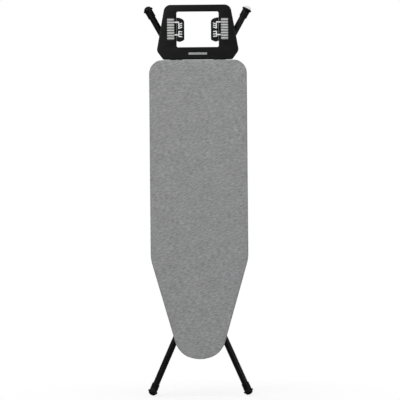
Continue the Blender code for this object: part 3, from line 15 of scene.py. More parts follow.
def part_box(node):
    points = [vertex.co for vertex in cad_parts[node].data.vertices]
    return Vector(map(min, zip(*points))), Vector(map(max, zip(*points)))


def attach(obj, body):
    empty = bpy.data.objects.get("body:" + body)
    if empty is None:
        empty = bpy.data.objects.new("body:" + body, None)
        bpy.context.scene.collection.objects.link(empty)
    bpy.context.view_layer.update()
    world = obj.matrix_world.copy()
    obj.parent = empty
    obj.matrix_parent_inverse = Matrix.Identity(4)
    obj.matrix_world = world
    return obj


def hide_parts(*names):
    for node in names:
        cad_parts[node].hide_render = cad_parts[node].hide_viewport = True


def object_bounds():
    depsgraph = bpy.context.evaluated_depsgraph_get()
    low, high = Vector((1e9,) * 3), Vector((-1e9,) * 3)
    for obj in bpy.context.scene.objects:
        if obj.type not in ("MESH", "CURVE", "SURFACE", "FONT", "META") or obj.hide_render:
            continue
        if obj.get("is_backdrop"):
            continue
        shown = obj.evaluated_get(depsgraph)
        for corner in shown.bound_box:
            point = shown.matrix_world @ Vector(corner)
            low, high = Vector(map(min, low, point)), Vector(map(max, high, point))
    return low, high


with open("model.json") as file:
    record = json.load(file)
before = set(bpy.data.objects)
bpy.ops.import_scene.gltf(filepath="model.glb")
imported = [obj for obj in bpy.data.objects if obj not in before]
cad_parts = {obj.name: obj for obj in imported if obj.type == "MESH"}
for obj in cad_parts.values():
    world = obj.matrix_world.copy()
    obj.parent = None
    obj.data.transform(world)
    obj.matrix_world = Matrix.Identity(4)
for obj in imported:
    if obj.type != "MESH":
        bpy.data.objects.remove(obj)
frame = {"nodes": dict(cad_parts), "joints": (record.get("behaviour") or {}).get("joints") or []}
cad_low, cad_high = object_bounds()
SIDES = (("right", 1), ("left", -1))

# ==== Camera, room and light ==============================================================================
# The board is seen square-on from its ironing face, in a white room with large soft lights.  The floor is a
# pale disc just under the lower feet that melts into the white round it.
VIEW_WIDTH = 1.5512           # across the picture, at the board
LENS = 200.0
SENSOR = 36.0
VIEW_X, VIEW_Z = 0.0037, -0.7313
VIEW_ROLL = math.radians(-0.49)
FLOOR_DROP = 0.002
FLOOR_RADIUS = 1.1
FLOOR_HAZE = 0.74             # how far the floor melts into the room under the board
MIRRORED_ROOM = 0.16          # dark flags round the set keep the black parts black

camera_data = bpy.data.cameras.new("camera")
camera_data.lens = LENS
camera_data.sensor_width = SENSOR
camera_data.clip_end = 60.0
camera = bpy.data.objects.new("camera", camera_data)
camera.matrix_world = (
    Matrix.Translation((VIEW_X, -VIEW_WIDTH * LENS / SENSOR, VIEW_Z))
    @ Matrix.Rotation(math.radians(90), 4, "X")
    @ Matrix.Rotation(VIEW_ROLL, 4, "Z")
)
bpy.context.scene.collection.objects.link(camera)
bpy.context.scene.camera = camera
bpy.context.scene.view_settings.view_transform = "Standard"

world = bpy.data.worlds.new("white_room")
world.use_nodes = True
bpy.context.scene.world = world
world_nodes = world.node_tree.nodes
room_light = world_nodes["Background"]
room_light.inputs["Color"].default_value = (0.97, 0.985, 1.0, 1.0)
room_light.inputs["Strength"].default_value = 0.42
room_seen = world_nodes.new("ShaderNodeBackground")
room_seen.inputs["Color"].default_value = (1.0, 1.0, 1.0, 1.0)
room_mirrored = world_nodes.new("ShaderNodeBackground")
room_mirrored.inputs["Color"].default_value = (0.97, 0.985, 1.0, 1.0)
room_mirrored.inputs["Strength"].default_value = MIRRORED_ROOM
seen_by = world_nodes.new("ShaderNodeLightPath")
mirror_mix = world_nodes.new("ShaderNodeMixShader")
room_mix = world_nodes.new("ShaderNodeMixShader")
world.node_tree.links.new(seen_by.outputs["Is Glossy Ray"], mirror_mix.inputs["Fac"])
world.node_tree.links.new(room_light.outputs[0], mirror_mix.inputs[1])
world.node_tree.links.new(room_mirrored.outputs[0], mirror_mix.inputs[2])
world.node_tree.links.new(seen_by.outputs["Is Camera Ray"], room_mix.inputs["Fac"])
world.node_tree.links.new(mirror_mix.outputs[0], room_mix.inputs[1])
world.node_tree.links.new(room_seen.outputs[0], room_mix.inputs[2])
world.node_tree.links.new(room_mix.outputs[0], world_nodes["World Output"].inputs["Surface"])


def soft_light(name, place, aim, size, power):
    """Square studio light at a place, turned to face a point."""
    data = bpy.data.lights.new(name, "AREA")
    data.size = size
    data.energy = power
    lamp = bpy.data.objects.new(name, data)
    lamp.location = place
    lamp.rotation_euler = (Vector(aim) - Vector(place)).to_track_quat("-Z", "Y").to_euler()
    bpy.context.scene.collection.objects.link(lamp)


board_middle = (cad_low + cad_high) / 2
soft_light("key_light", (-2.0, -3.2, 0.9), board_middle, 2.4, 80)
soft_light("fill_light", (2.6, -3.0, -0.6), board_middle, 2.6, 44)
soft_light("top_light", (0.2, -0.6, 2.4), board_middle, 1.6, 26)
soft_light("back_light_left", (-2.4, 3.0, 0.4), board_middle, 2.4, 58)
soft_light("back_light_right", (2.6, 2.6, -0.4), board_middle, 2.2, 34)


def finish(name, colour, roughness, metallic=0.0):
    """A Principled surface with the object's own coordinates, in metres, to carry its detail."""
    made = bpy.data.materials.new(name)
    made.use_nodes = True
    shader = made.node_tree.nodes["Principled BSDF"]
    shader.inputs["Base Color"].default_value = (*colour, 1.0)
    shader.inputs["Roughness"].default_value = roughness
    shader.inputs["Metallic"].default_value = metallic
    coords = made.node_tree.nodes.new("ShaderNodeTexCoord").outputs["Object"]
    return made, shader, coords


def grain(made, coords, size, detail=2.0, stretch=(1.0, 1.0, 1.0), turn=(0.0, 0.0, 0.0)):
    """Noise from 0 to 1 whose features are about size across, drawn out by stretch along turned axes."""
    place = made.node_tree.nodes.new("ShaderNodeMapping")
    place.vector_type = "TEXTURE"
    place.inputs["Rotation"].default_value = turn
    place.inputs["Scale"].default_value = [size * share for share in stretch]
    made.node_tree.links.new(coords, place.inputs["Vector"])
    noise = made.node_tree.nodes.new("ShaderNodeTexNoise")
    noise.inputs["Scale"].default_value = 1.0
    noise.inputs["Detail"].default_value = detail
    made.node_tree.links.new(place.outputs[0], noise.inputs["Vector"])
    return noise.outputs["Fac"]


def between(made, amount, start, end, low, high):
    """An amount from start to end, remapped and clamped to low to high."""
    ranged = made.node_tree.nodes.new("ShaderNodeMapRange")
    made.node_tree.links.new(amount, ranged.inputs["Value"])
    for socket, value in (("From Min", start), ("From Max", end), ("To Min", low), ("To Max", high)):
        ranged.inputs[socket].default_value = value
    return ranged.outputs["Result"]


def blended(made, amount, first, second):
    """Colour that goes from first to second with amount.  Each is a colour or a socket."""
    mix = made.node_tree.nodes.new("ShaderNodeMix")
    mix.data_type = "RGBA"
    made.node_tree.links.new(amount, mix.inputs["Factor"])
    for socket, colour in ((mix.inputs[6], first), (mix.inputs[7], second)):
        if isinstance(colour, bpy.types.NodeSocket):
            made.node_tree.links.new(colour, socket)
        else:
            socket.default_value = (*colour, 1.0)
    return mix.outputs[2]


def shaded(made, shader, amount, dark, light):
    """Base colour that goes from dark to light with amount."""
    colour = blended(made, amount, dark, light)
    made.node_tree.links.new(colour, shader.inputs["Base Color"])
    return colour


def raised(made, shader, amount, depth):
    """Relief of a depth in metres, added to any relief that the surface has already."""
    bump = made.node_tree.nodes.new("ShaderNodeBump")
    bump.inputs["Distance"].default_value = depth
    made.node_tree.links.new(amount, bump.inputs["Height"])
    if shader.inputs["Normal"].is_linked:
        made.node_tree.links.new(shader.inputs["Normal"].links[0].from_socket, bump.inputs["Normal"])
    made.node_tree.links.new(bump.outputs["Normal"], shader.inputs["Normal"])


def new_piece(name, mesh, material, body=None, stands_for=()):
    """Object for a finished mesh, with its material, and with the frame body that it rides on."""
    mesh.materials.clear()
    mesh.materials.append(material)
    piece = bpy.data.objects.new(name, mesh)
    bpy.context.scene.collection.objects.link(piece)
    if body:
        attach(piece, body)
    if stands_for:
        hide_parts(*stands_for)
    return piece


def floor_finish():
    """Pale matt floor that turns see-through with distance from the middle."""
    made, shader, coords = finish("pale_floor", (0.93, 0.93, 0.93), 0.7)
    nodes, links = made.node_tree.nodes, made.node_tree.links
    distance = nodes.new("ShaderNodeVectorMath")
    distance.operation = "LENGTH"
    flattened = nodes.new("ShaderNodeVectorMath")
    flattened.operation = "MULTIPLY"
    flattened.inputs[1].default_value = (1.0, 1.0, 0.0)
    links.new(coords, flattened.inputs[0])
    links.new(flattened.outputs[0], distance.inputs[0])
    shaded(made, shader, grain(made, coords, 0.02), (0.92, 0.92, 0.92), (0.95, 0.95, 0.95))
    clear = nodes.new("ShaderNodeBsdfTransparent")
    fade = nodes.new("ShaderNodeMixShader")
    melting = between(made, distance.outputs["Value"], 0.10, FLOOR_RADIUS * 0.8, FLOOR_HAZE, 1.0)
    links.new(melting, fade.inputs["Fac"])
    links.new(shader.outputs[0], fade.inputs[1])
    links.new(clear.outputs[0], fade.inputs[2])
    links.new(fade.outputs[0], nodes["Material Output"].inputs["Surface"])
    return made


floor_mesh = bpy.data.meshes.new("floor")
floor_shape = bmesh.new()
bmesh.ops.create_circle(floor_shape, cap_ends=True, segments=96, radius=FLOOR_RADIUS)
bmesh.ops.translate(floor_shape, verts=floor_shape.verts, vec=(0.0, 0.0, cad_low.z - FLOOR_DROP))
floor_shape.to_mesh(floor_mesh)
floor_shape.free()
new_piece("floor", floor_mesh, floor_finish())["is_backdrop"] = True

# ==== Cotton cover ========================================================================================
# One cut of grey heathered cotton, drawn over the foam and the board's rim.  It lies taut on the face, rolls
# round the edge and gathers into a narrow stitched hem behind the rim, where its fullness makes puckers.
cover_low, cover_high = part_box("cover")
HALF_WIDTH = cover_high.x
NOSE_Z, TAIL_Z = cover_low.z, cover_high.z
FACE_Y, HEM_Y = cover_low.y, cover_high.y
TAIL_RADIUS = 0.051
TAPER_LENGTH = 0.390
TAPER_END_HALF_WIDTH = 0.0782
TAPER_ANGLE = math.atan((HALF_WIDTH - TAPER_END_HALF_WIDTH) / TAPER_LENGTH)
TAPER_BLEND_RADIUS = 0.150
SHOULDER_RADIUS = 0.090
NOSE_RADIUS = 0.130
EDGE_RADIUS = 0.0062          # the face rolls over into the side
FOLD_RADIUS = 0.0024          # the side turns into the hem
HEM_INSET = 0.0125
COVER_SPACING = 0.0062
FACE_PITCH = 0.0135
PUCKER_DEPTH = 0.0011
PUCKERS = 170
SHARP_TURN = 0.06             # turn from point to point, in radians, where the hem is fullest
SETTLE_FRAMES = 20
CLOTH_THICKNESS = 0.0009
CLOTH_RISE = 0.0016           # most that the settled cloth may stand off its pattern
TAIL_RISE = 0.0004            # the same beside the iron rest


def edge_arcs():
    """Centre, radius, start and end angle of the right half's arcs, from the nose tip to the tail."""
    taper_start = Vector((HALF_WIDTH, NOSE_Z + TAPER_LENGTH))
    towards_nose = Vector((-math.sin(TAPER_ANGLE), -math.cos(TAPER_ANGLE)))
    inwards = Vector((-math.cos(TAPER_ANGLE), math.sin(TAPER_ANGLE)))
    nose_centre = Vector((0.0, NOSE_Z + NOSE_RADIUS))
    start = taper_start + SHOULDER_RADIUS * inwards - nose_centre
    along = start.dot(towards_nose)
    reach = NOSE_RADIUS - SHOULDER_RADIUS
    travel = -along + math.sqrt(along ** 2 - start.length_squared + reach ** 2)
    shoulder_centre = taper_start + SHOULDER_RADIUS * inwards + travel * towards_nose
    nose_turn = math.atan2(*(shoulder_centre - nose_centre).yx)
    blend_z = NOSE_Z + TAPER_LENGTH + TAPER_BLEND_RADIUS * math.tan(TAPER_ANGLE / 2)
    blend_centre = Vector((HALF_WIDTH - TAPER_BLEND_RADIUS, blend_z))
    tail_centre = Vector((HALF_WIDTH - TAIL_RADIUS, TAIL_Z - TAIL_RADIUS))
    return [
        (nose_centre, NOSE_RADIUS, -math.pi / 2, nose_turn),
        (shoulder_centre, SHOULDER_RADIUS, nose_turn, -TAPER_ANGLE),
        (blend_centre, TAPER_BLEND_RADIUS, -TAPER_ANGLE, 0.0),
        (tail_centre, TAIL_RADIUS, 0.0, math.pi / 2),
    ]


def edge_ring(inset, spacing):
    """Points (x, z) round the board's edge, moved in by inset.  Every inset has the same number of points."""
    def on_arc(arc, angle, move):
        return arc[0] + (arc[1] - move) * Vector((math.cos(angle), math.sin(angle)))

    arcs = edge_arcs()
    right = []
    for number, arc in enumerate(arcs):
        steps = max(2, round(arc[1] * (arc[3] - arc[2]) / spacing))
        right += [on_arc(arc, arc[2] + (arc[3] - arc[2]) * step / steps, inset) for step in range(steps)]
        if number + 1 < len(arcs):
            after = arcs[number + 1]
            begin, end = on_arc(arc, arc[3], inset), on_arc(after, after[2], inset)
            length = (on_arc(after, after[2], 0.0) - on_arc(arc, arc[3], 0.0)).length
        else:
            begin = on_arc(arc, arc[3], inset)
            end = Vector((0.0, begin.y))
            length = HALF_WIDTH - TAIL_RADIUS
        steps = round(length / spacing)
        right += [begin.lerp(end, step / steps) for step in range(steps)]
    right.append(end)
    return right + [Vector((-place.x, place.y)) for place in reversed(right[1:-1])]


def inside(place, ring):
    """True where a point lies within a closed ring of points."""
    crossings = 0
    for first, second in zip(ring, ring[1:] + ring[:1]):
        if (first.y > place.y) != (second.y > place.y):
            crossings += place.x < first.x + (place.y - first.y) * (second.x - first.x) / (second.y - first.y)
    return crossings % 2 == 1


def fill_ring(shape, rim, ring, y, pitch, inset, spacing):
    """Close a ring of corners with triangles over an even grid of points.  Returns the new corners."""
    room = edge_ring(inset + pitch * 0.6, spacing)
    grid = []
    rows = int((TAIL_Z - NOSE_Z) / pitch)
    columns = int(HALF_WIDTH / pitch)
    for row in range(rows + 1):
        shift = 0.5 * (row % 2)
        for column in range(-columns, columns + 1):
            place = Vector(((column + shift) * pitch, NOSE_Z + row * pitch))
            if inside(place, room):
                grid.append(place)
    count = len(ring)
    borders = [(number, (number + 1) % count) for number in range(count)]
    places, _, faces, origins, _, _ = delaunay_2d_cdt(ring + grid, borders, [], 1, 1e-6)
    corners = []
    fresh = []
    for place, origin in zip(places, origins):
        if origin and origin[0] < count:
            corners.append(rim[origin[0]])
            continue
        corners.append(shape.verts.new((place.x, y, place.y)))
        fresh.append(corners[-1])
    for face in faces:
        shape.faces.new([corners[number] for number in face])
    return fresh


def loft_rows(rows, spacing, closed=False):
    """Surface through rows of (inset, y), each a ring round the board.  Returns the shape and its rings."""
    shape = bmesh.new()
    rings = []
    for inset, y in rows:
        rings.append([shape.verts.new((place.x, y, place.y)) for place in edge_ring(inset, spacing)])
    loops = list(zip(rings, rings[1:] + rings[:1])) if closed else list(zip(rings, rings[1:]))
    for before, after in loops:
        for number in range(len(before)):
            following = (number + 1) % len(before)
            shape.faces.new((before[number], before[following], after[following], after[number]))
    return shape, rings


def round_rows(inset, y, radius, start, end, steps):
    """Rows round a corner: the centre's inset and y, and angles from the outward direction towards +Y."""
    rows = []
    for step in range(steps + 1):
        angle = start + (end - start) * step / steps
        rows.append((inset - radius * math.cos(angle), y + radius * math.sin(angle)))
    return rows


def pucker_waves(count, seed):
    """Three irregular waves along the hem, as (turns round the board, phase)."""
    chance = random.Random(seed)
    return [(round(count * share), chance.uniform(0.0, 2 * math.pi)) for share in (1.0, 0.71, 1.37)]


def settle_cloth(piece, held, rise, tail_rise):
    """Let the cloth find its tension over the foam, held at the hem, and limit how far each point moves.

    Near the tail it may move less, because the iron rest lies close to it there.
    """
    pattern = [corner.co.copy() for corner in piece.data.vertices]
    group = piece.vertex_groups.new(name="held")
    group.add(held, 1.0, "REPLACE")
    cloth = piece.modifiers.new("Cloth", "CLOTH")
    cloth.settings.quality = 5
    cloth.settings.mass = 0.2
    cloth.settings.tension_stiffness = 15.0
    cloth.settings.compression_stiffness = 15.0
    cloth.settings.bending_stiffness = 0.5
    cloth.settings.use_pressure = True
    cloth.settings.uniform_pressure_force = 4.0
    cloth.settings.vertex_group_mass = "held"
    cloth.settings.effector_weights.gravity = 0.0
    cloth.point_cache.frame_start, cloth.point_cache.frame_end = 1, SETTLE_FRAMES
    for number in range(1, SETTLE_FRAMES + 1):
        bpy.context.scene.frame_set(number)
    settled = piece.evaluated_get(bpy.context.evaluated_depsgraph_get()).to_mesh()
    moves = [after.co - before for after, before in zip(settled.vertices, pattern)]
    piece.modifiers.remove(cloth)
    bpy.context.scene.frame_set(1)
    for corner, before, move in zip(piece.data.vertices, pattern, moves):
        reach = move.length
        room = tail_rise if before.z > TAIL_Z - EDGE_RADIUS else rise
        if reach > 0.0:
            corner.co = before + move * (room * math.tanh(reach / room) / reach)


def cotton_finish():
    """Heathered cotton twill on the cloth's own flat pattern, which the UV map holds in metres."""
    made, shader, coords = finish("grey_cotton", (0.265, 0.265, 0.268), 0.92)
    nodes, links = made.node_tree.nodes, made.node_tree.links
    flat = nodes.new("ShaderNodeUVMap")
    flat.uv_map = "cloth"
    cloth = flat.outputs[0]
    twill = (0.0, 0.0, math.radians(22))
    fleck = grain(made, cloth, 0.0022, 2.0, (2.6, 0.8, 1.0), twill)
    slub = grain(made, cloth, 0.0058, 2.0, (2.6, 0.8, 1.0), twill)
    cloud = grain(made, cloth, 0.040, 3.0, (1.6, 0.9, 1.0), twill)
    flecks_shown = between(made, fleck, 0.34, 0.66, 0.0, 1.0)
    slubs_shown = between(made, slub, 0.32, 0.68, 0.0, 1.0)
    flecked = blended(made, flecks_shown, (0.195, 0.195, 0.197), (0.355, 0.355, 0.357))
    slubbed = blended(made, slubs_shown, (0.178, 0.178, 0.179), (0.375, 0.375, 0.376))
    half = nodes.new("ShaderNodeMix")
    half.data_type = "RGBA"
    half.inputs["Factor"].default_value = 0.62
    links.new(flecked, half.inputs[6])
    links.new(slubbed, half.inputs[7])
    aged = nodes.new("ShaderNodeMix")
    aged.data_type = "RGBA"
    aged.blend_type = "MULTIPLY"
    aged.inputs["Factor"].default_value = 1.0
    links.new(half.outputs[2], aged.inputs[6])
    links.new(between(made, cloud, 0.3, 0.7, 0.94, 1.06), aged.inputs[7])
    links.new(aged.outputs[2], shader.inputs["Base Color"])
    band_pitch = 0.314        # width of one band of the wave texture at a scale of 1
    for turn, pitch in ((-24, 0.0012), (66, 0.0016)):
        place = nodes.new("ShaderNodeMapping")
        place.inputs["Rotation"].default_value = (0.0, 0.0, math.radians(turn))
        links.new(cloth, place.inputs["Vector"])
        ridge = nodes.new("ShaderNodeTexWave")
        ridge.inputs["Scale"].default_value = band_pitch / pitch
        ridge.inputs["Distortion"].default_value = 0.6
        ridge.inputs["Detail"].default_value = 1.0
        links.new(place.outputs[0], ridge.inputs["Vector"])
        raised(made, shader, ridge.outputs["Fac"], 0.00020)
    raised(made, shader, slub, 0.0006)
    shader.inputs["Sheen Weight"].default_value = 0.12
    shader.inputs["Sheen Roughness"].default_value = 0.45
    shader.inputs["Specular IOR Level"].default_value = 0.25
    return made


COTTON = cotton_finish()
cover_rows = [(HEM_INSET - step * 0.0034, HEM_Y - 0.0002) for step in range(3)]
cover_rows += round_rows(FOLD_RADIUS, HEM_Y - FOLD_RADIUS, FOLD_RADIUS, math.radians(90), 0.0, 3)
side_low, side_high = HEM_Y - FOLD_RADIUS, FACE_Y + EDGE_RADIUS
cover_rows += [(0.0, side_low + (side_high - side_low) * step / 5) for step in range(1, 5)]
cover_rows += round_rows(EDGE_RADIUS, FACE_Y + EDGE_RADIUS, EDGE_RADIUS, 0.0, math.radians(-90), 4)
cover_rows += [(inset, FACE_Y) for inset in (0.0095, 0.0140, 0.0200, 0.0280, 0.0380)]
cover_shape, cover_rings = loft_rows(cover_rows, COVER_SPACING)
face_corners = fill_ring(
    cover_shape,
    cover_rings[-1],
    edge_ring(cover_rows[-1][0], COVER_SPACING),
    FACE_Y,
    FACE_PITCH,
    cover_rows[-1][0],
    COVER_SPACING,
)

# the cloth's flat pattern: the face as it lies, and the side and hem unrolled outwards from it
flat_places = {corner: (corner.co.x, corner.co.z) for corner in face_corners}
unrolled = 0.0
for number in reversed(range(len(cover_rows))):
    if number + 1 < len(cover_rows):
        (inset, y), (next_inset, next_y) = cover_rows[number], cover_rows[number + 1]
        unrolled += math.hypot(inset - next_inset, y - next_y)
    for corner, place in zip(cover_rings[number], edge_ring(cover_rows[-1][0] - unrolled, COVER_SPACING)):
        flat_places[corner] = (place.x, place.y)
CLOTH_MARGIN = unrolled - cover_rows[-1][0]
cloth_map = cover_shape.loops.layers.uv.new("cloth")
for face in cover_shape.faces:
    for loop in face.loops:
        loop[cloth_map].uv = flat_places[loop.vert]

# puckers: none on the face, growing round the side to the hem, and deeper where the edge curves
outer_ring = edge_ring(0.0, COVER_SPACING)
waves = pucker_waves(PUCKERS, 11)
for number, ring in enumerate(cover_rings):
    depth_share = max(0.0, (cover_rows[number][1] - FACE_Y - EDGE_RADIUS) / (HEM_Y - FACE_Y - EDGE_RADIUS))
    if depth_share == 0.0:
        continue
    for place_number, corner in enumerate(ring):
        before = outer_ring[place_number - 1]
        here = outer_ring[place_number]
        after = outer_ring[(place_number + 1) % len(outer_ring)]
        turning = (here - before).angle(after - here, 0.0)
        fullness = 0.40 + min(1.0, turning / SHARP_TURN) * 0.75
        share = place_number / len(ring)
        wave = sum(math.sin(2 * math.pi * turns * share + phase) for turns, phase in waves) / len(waves)
        outwards = Vector(((after - before).y, -(after - before).x)).normalized()
        swing = wave * fullness * PUCKER_DEPTH * depth_share
        if cover_rows[number][0] > FOLD_RADIUS:
            corner.co += Vector((0.0, swing * 0.9, 0.0))
        else:
            corner.co += Vector((outwards.x, 0.0, outwards.y)) * swing
bmesh.ops.recalc_face_normals(cover_shape, faces=cover_shape.faces)
cover_shape.faces.ensure_lookup_table()
if cover_shape.faces[-1].normal.y > 0.0:
    bmesh.ops.reverse_faces(cover_shape, faces=cover_shape.faces)
cover_shape.verts.index_update()
held_rows = [corner.index for ring in cover_rings[:7] for corner in ring]
stitch_line = [corner.co.copy() for corner in cover_rings[1]]
cover_mesh = bpy.data.meshes.new("cover_cloth")
cover_shape.to_mesh(cover_mesh)
cover_shape.free()
cover_mesh.shade_smooth()
cover_cloth = new_piece("cover_cloth", cover_mesh, COTTON)
settle_cloth(cover_cloth, held_rows, CLOTH_RISE, TAIL_RISE)
wall = cover_cloth.modifiers.new("Cloth thickness", "SOLIDIFY")
wall.thickness = CLOTH_THICKNESS
wall.offset = -1.0
smoothing = cover_cloth.modifiers.new("Smooth", "SUBSURF")
smoothing.levels = smoothing.render_levels = 1
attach(cover_cloth, "board")
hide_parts("cover")


def polygon_area(ring):
    """Area inside a closed ring of points."""
    pairs = zip(ring, ring[1:] + ring[:1])
    return abs(sum(first.x * second.y - second.x * first.y for first, second in pairs)) / 2


cloth_ring = edge_ring(-CLOTH_MARGIN, COVER_SPACING)
polygon_area(cloth_ring)

# ==== Hem stitching =======================================================================================
# A single row of grey lockstitch holds the turned hem, one stitch every 3.4 millimetres.
STITCH_PITCH = 0.0034
STITCH_LENGTH = 0.0023
STITCH_RADIUS = 0.00032


def repeat_tree(name):
    """Geometry Nodes tree that puts a piece on every point, turned by the points' own turn, as real mesh."""
    tree = bpy.data.node_groups.new(name, "GeometryNodeTree")
    face = tree.interface
    face.new_socket("Points", in_out="INPUT", socket_type="NodeSocketGeometry")
    face.new_socket("Piece", in_out="INPUT", socket_type="NodeSocketObject")
    face.new_socket("Finish", in_out="INPUT", socket_type="NodeSocketMaterial")
    face.new_socket("Mesh", in_out="OUTPUT", socket_type="NodeSocketGeometry")
    nodes, links = tree.nodes, tree.links
    given, result = nodes.new("NodeGroupInput"), nodes.new("NodeGroupOutput")
    piece = nodes.new("GeometryNodeObjectInfo")
    turn = nodes.new("GeometryNodeInputNamedAttribute")
    turn.data_type = "FLOAT_VECTOR"
    turn.inputs["Name"].default_value = "turn"
    copies = nodes.new("GeometryNodeInstanceOnPoints")
    real = nodes.new("GeometryNodeRealizeInstances")
    paint = nodes.new("GeometryNodeSetMaterial")
    links.new(given.outputs["Piece"], piece.inputs["Object"])
    links.new(given.outputs["Points"], copies.inputs["Points"])
    links.new(piece.outputs["Geometry"], copies.inputs["Instance"])
    links.new(turn.outputs["Attribute"], copies.inputs["Rotation"])
    links.new(copies.outputs["Instances"], real.inputs["Geometry"])
    links.new(real.outputs["Geometry"], paint.inputs["Geometry"])
    links.new(given.outputs["Finish"], paint.inputs["Material"])
    links.new(paint.outputs["Geometry"], result.inputs["Mesh"])
    return tree


def made_plain(carrier, tree, settings):
    """Run a tree on a carrier object, return its result as a plain mesh and remove the carrier."""
    maker = carrier.modifiers.new("Maker", "NODES")
    maker.node_group = tree
    for item in tree.interface.items_tree:
        if item.in_out == "INPUT" and item.name in settings:
            maker[item.identifier] = settings[item.name]
    bpy.context.view_layer.update()
    evaluated = carrier.evaluated_get(bpy.context.evaluated_depsgraph_get())
    mesh = bpy.data.meshes.new_from_object(evaluated)
    bpy.data.objects.remove(carrier, do_unlink=True)
    return mesh


REPEAT = repeat_tree("repeat_on_points")


def repeated(name, template_mesh, places, material, smooth_angle=40):
    """Plain mesh of a template at each (place, turn), where a turn is a rotation from the template's axes."""
    points = bpy.data.meshes.new(name + "_points")
    points.from_pydata([place for place, _ in places], [], [])
    turns = points.attributes.new("turn", "FLOAT_VECTOR", "POINT")
    for number, (_, turn) in enumerate(places):
        turns.data[number].vector = turn
    carrier = bpy.data.objects.new(name + "_points", points)
    template = bpy.data.objects.new(name + "_template", template_mesh)
    bpy.context.scene.collection.objects.link(carrier)
    bpy.context.scene.collection.objects.link(template)
    mesh = made_plain(carrier, REPEAT, {"Piece": template, "Finish": material})
    bpy.data.objects.remove(template, do_unlink=True)
    mesh.name = name
    mesh.shade_smooth()
    mesh.set_sharp_from_angle(angle=math.radians(smooth_angle))
    return mesh


def turned_mesh(name, profile, steps, axis=(0.0, 0.0, 1.0), place=(0.0, 0.0, 0.0), smooth_angle=40):
    """Closed turned shape from a profile of (radius, height), turned round an axis through a place."""
    shape = bmesh.new()
    rings = []
    for radius, height in profile:
        if radius < 1e-7:
            rings.append([shape.verts.new((0.0, 0.0, height))])
            continue
        angles = [2 * math.pi * step / steps for step in range(steps)]
        rings.append([shape.verts.new((radius * math.cos(a), radius * math.sin(a), height)) for a in angles])
    for before, after in zip(rings, rings[1:]):
        for step in range(steps):
            following = (step + 1) % steps
            around = [
                before[step % len(before)],
                before[following % len(before)],
                after[following % len(after)],
                after[step % len(after)],
            ]
            shape.faces.new(list(dict.fromkeys(around)))
    for ring in (rings[0], rings[-1]):
        if len(ring) > 1:
            shape.faces.new(ring)
    bmesh.ops.recalc_face_normals(shape, faces=shape.faces)
    onto_axis = Vector((0.0, 0.0, 1.0)).rotation_difference(Vector(axis)).to_matrix().to_4x4()
    bmesh.ops.transform(shape, verts=shape.verts, matrix=Matrix.Translation(place) @ onto_axis)
    mesh = bpy.data.meshes.new(name)
    shape.to_mesh(mesh)
    shape.free()
    mesh.shade_smooth()
    mesh.set_sharp_from_angle(angle=math.radians(smooth_angle))
    return mesh


def thread_finish():
    """Matt grey spun thread."""
    made, shader, coords = finish("grey_thread", (0.20, 0.20, 0.205), 0.8)
    shaded(made, shader, grain(made, coords, 0.0006), (0.15, 0.15, 0.155), (0.27, 0.27, 0.275))
    raised(made, shader, grain(made, coords, 0.0003), 0.0001)
    return made


stitch_places = []
left_over = 0.0
for start, end in zip(stitch_line, stitch_line[1:] + stitch_line[:1]):
    run = end - start
    while left_over < run.length:
        place = start + run.normalized() * left_over + Vector((0.0, STITCH_RADIUS * 0.5, 0.0))
        stitch_places.append((place, run.to_track_quat("Z", "Y").to_euler()))
        left_over += STITCH_PITCH
    left_over -= run.length
half_stitch = STITCH_LENGTH / 2
stitch_profile = [
    (0.0, half_stitch),
    (STITCH_RADIUS, half_stitch * 0.6),
    (STITCH_RADIUS, -half_stitch * 0.6),
    (0.0, -half_stitch),
]
stitch_template = turned_mesh("stitch", stitch_profile, 6)
stitch_mesh = repeated("hem_stitches", stitch_template, stitch_places, thread_finish(), 80)
new_piece("hem_stitches", stitch_mesh, stitch_mesh.materials[0], "board")

# ==== Foam pad ============================================================================================
# Eight millimetres of open-cell foam between the cover and the steel, cut to the board's shape.  Its edge is
# drawn down by the cover, and its back shows through the holes of the mesh.
pad_low, pad_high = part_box("pad")
PAD_SPACING = 0.012
PAD_PITCH = 0.020
PAD_EDGE = 0.0030


def foam_finish():
    """Cream open-cell foam, its cells about a millimetre across, with painted shade down in the hollow of
    each cell.
    """
    made, shader, coords = finish("cream_foam", (0.68, 0.65, 0.56), 0.92)
    cells = made.node_tree.nodes.new("ShaderNodeTexVoronoi")
    cells.inputs["Scale"].default_value = 900.0
    made.node_tree.links.new(coords, cells.inputs["Vector"])
    # painted shade: each cell is darker towards its middle, where the relief below dips
    shaded(made, shader, cells.outputs["Distance"], (0.42, 0.39, 0.32), (0.76, 0.73, 0.64))
    raised(made, shader, cells.outputs["Distance"], 0.0006)
    raised(made, shader, grain(made, coords, 0.012, 3.0), 0.0008)
    shader.inputs["Specular IOR Level"].default_value = 0.2
    return made


pad_inset = HALF_WIDTH - pad_high.x
pad_rows = [(pad_inset + 0.020, pad_high.y), (pad_inset + PAD_EDGE, pad_high.y)]
pad_rows += round_rows(
    pad_inset + PAD_EDGE, pad_high.y - PAD_EDGE, PAD_EDGE, math.radians(60), math.radians(-60), 4
)
pad_rows += [(pad_inset + PAD_EDGE * 1.6, pad_low.y + 0.0006), (pad_inset + 0.020, pad_low.y)]
pad_shape, pad_rings = loft_rows(pad_rows, PAD_SPACING)
for rim, (inset, y) in ((pad_rings[0], pad_rows[0]), (pad_rings[-1], pad_rows[-1])):
    fill_ring(pad_shape, rim, edge_ring(inset, PAD_SPACING), y, PAD_PITCH, inset, PAD_SPACING)
bmesh.ops.recalc_face_normals(pad_shape, faces=pad_shape.faces)
pad_mesh = bpy.data.meshes.new("foam_pad")
pad_shape.to_mesh(pad_mesh)
pad_shape.free()
pad_mesh.shade_smooth()
foam_pad = new_piece("foam_pad", pad_mesh, foam_finish(), "board", ["pad"])
pad_smoothing = foam_pad.modifiers.new("Smooth", "SUBSURF")
pad_smoothing.levels = pad_smoothing.render_levels = 1

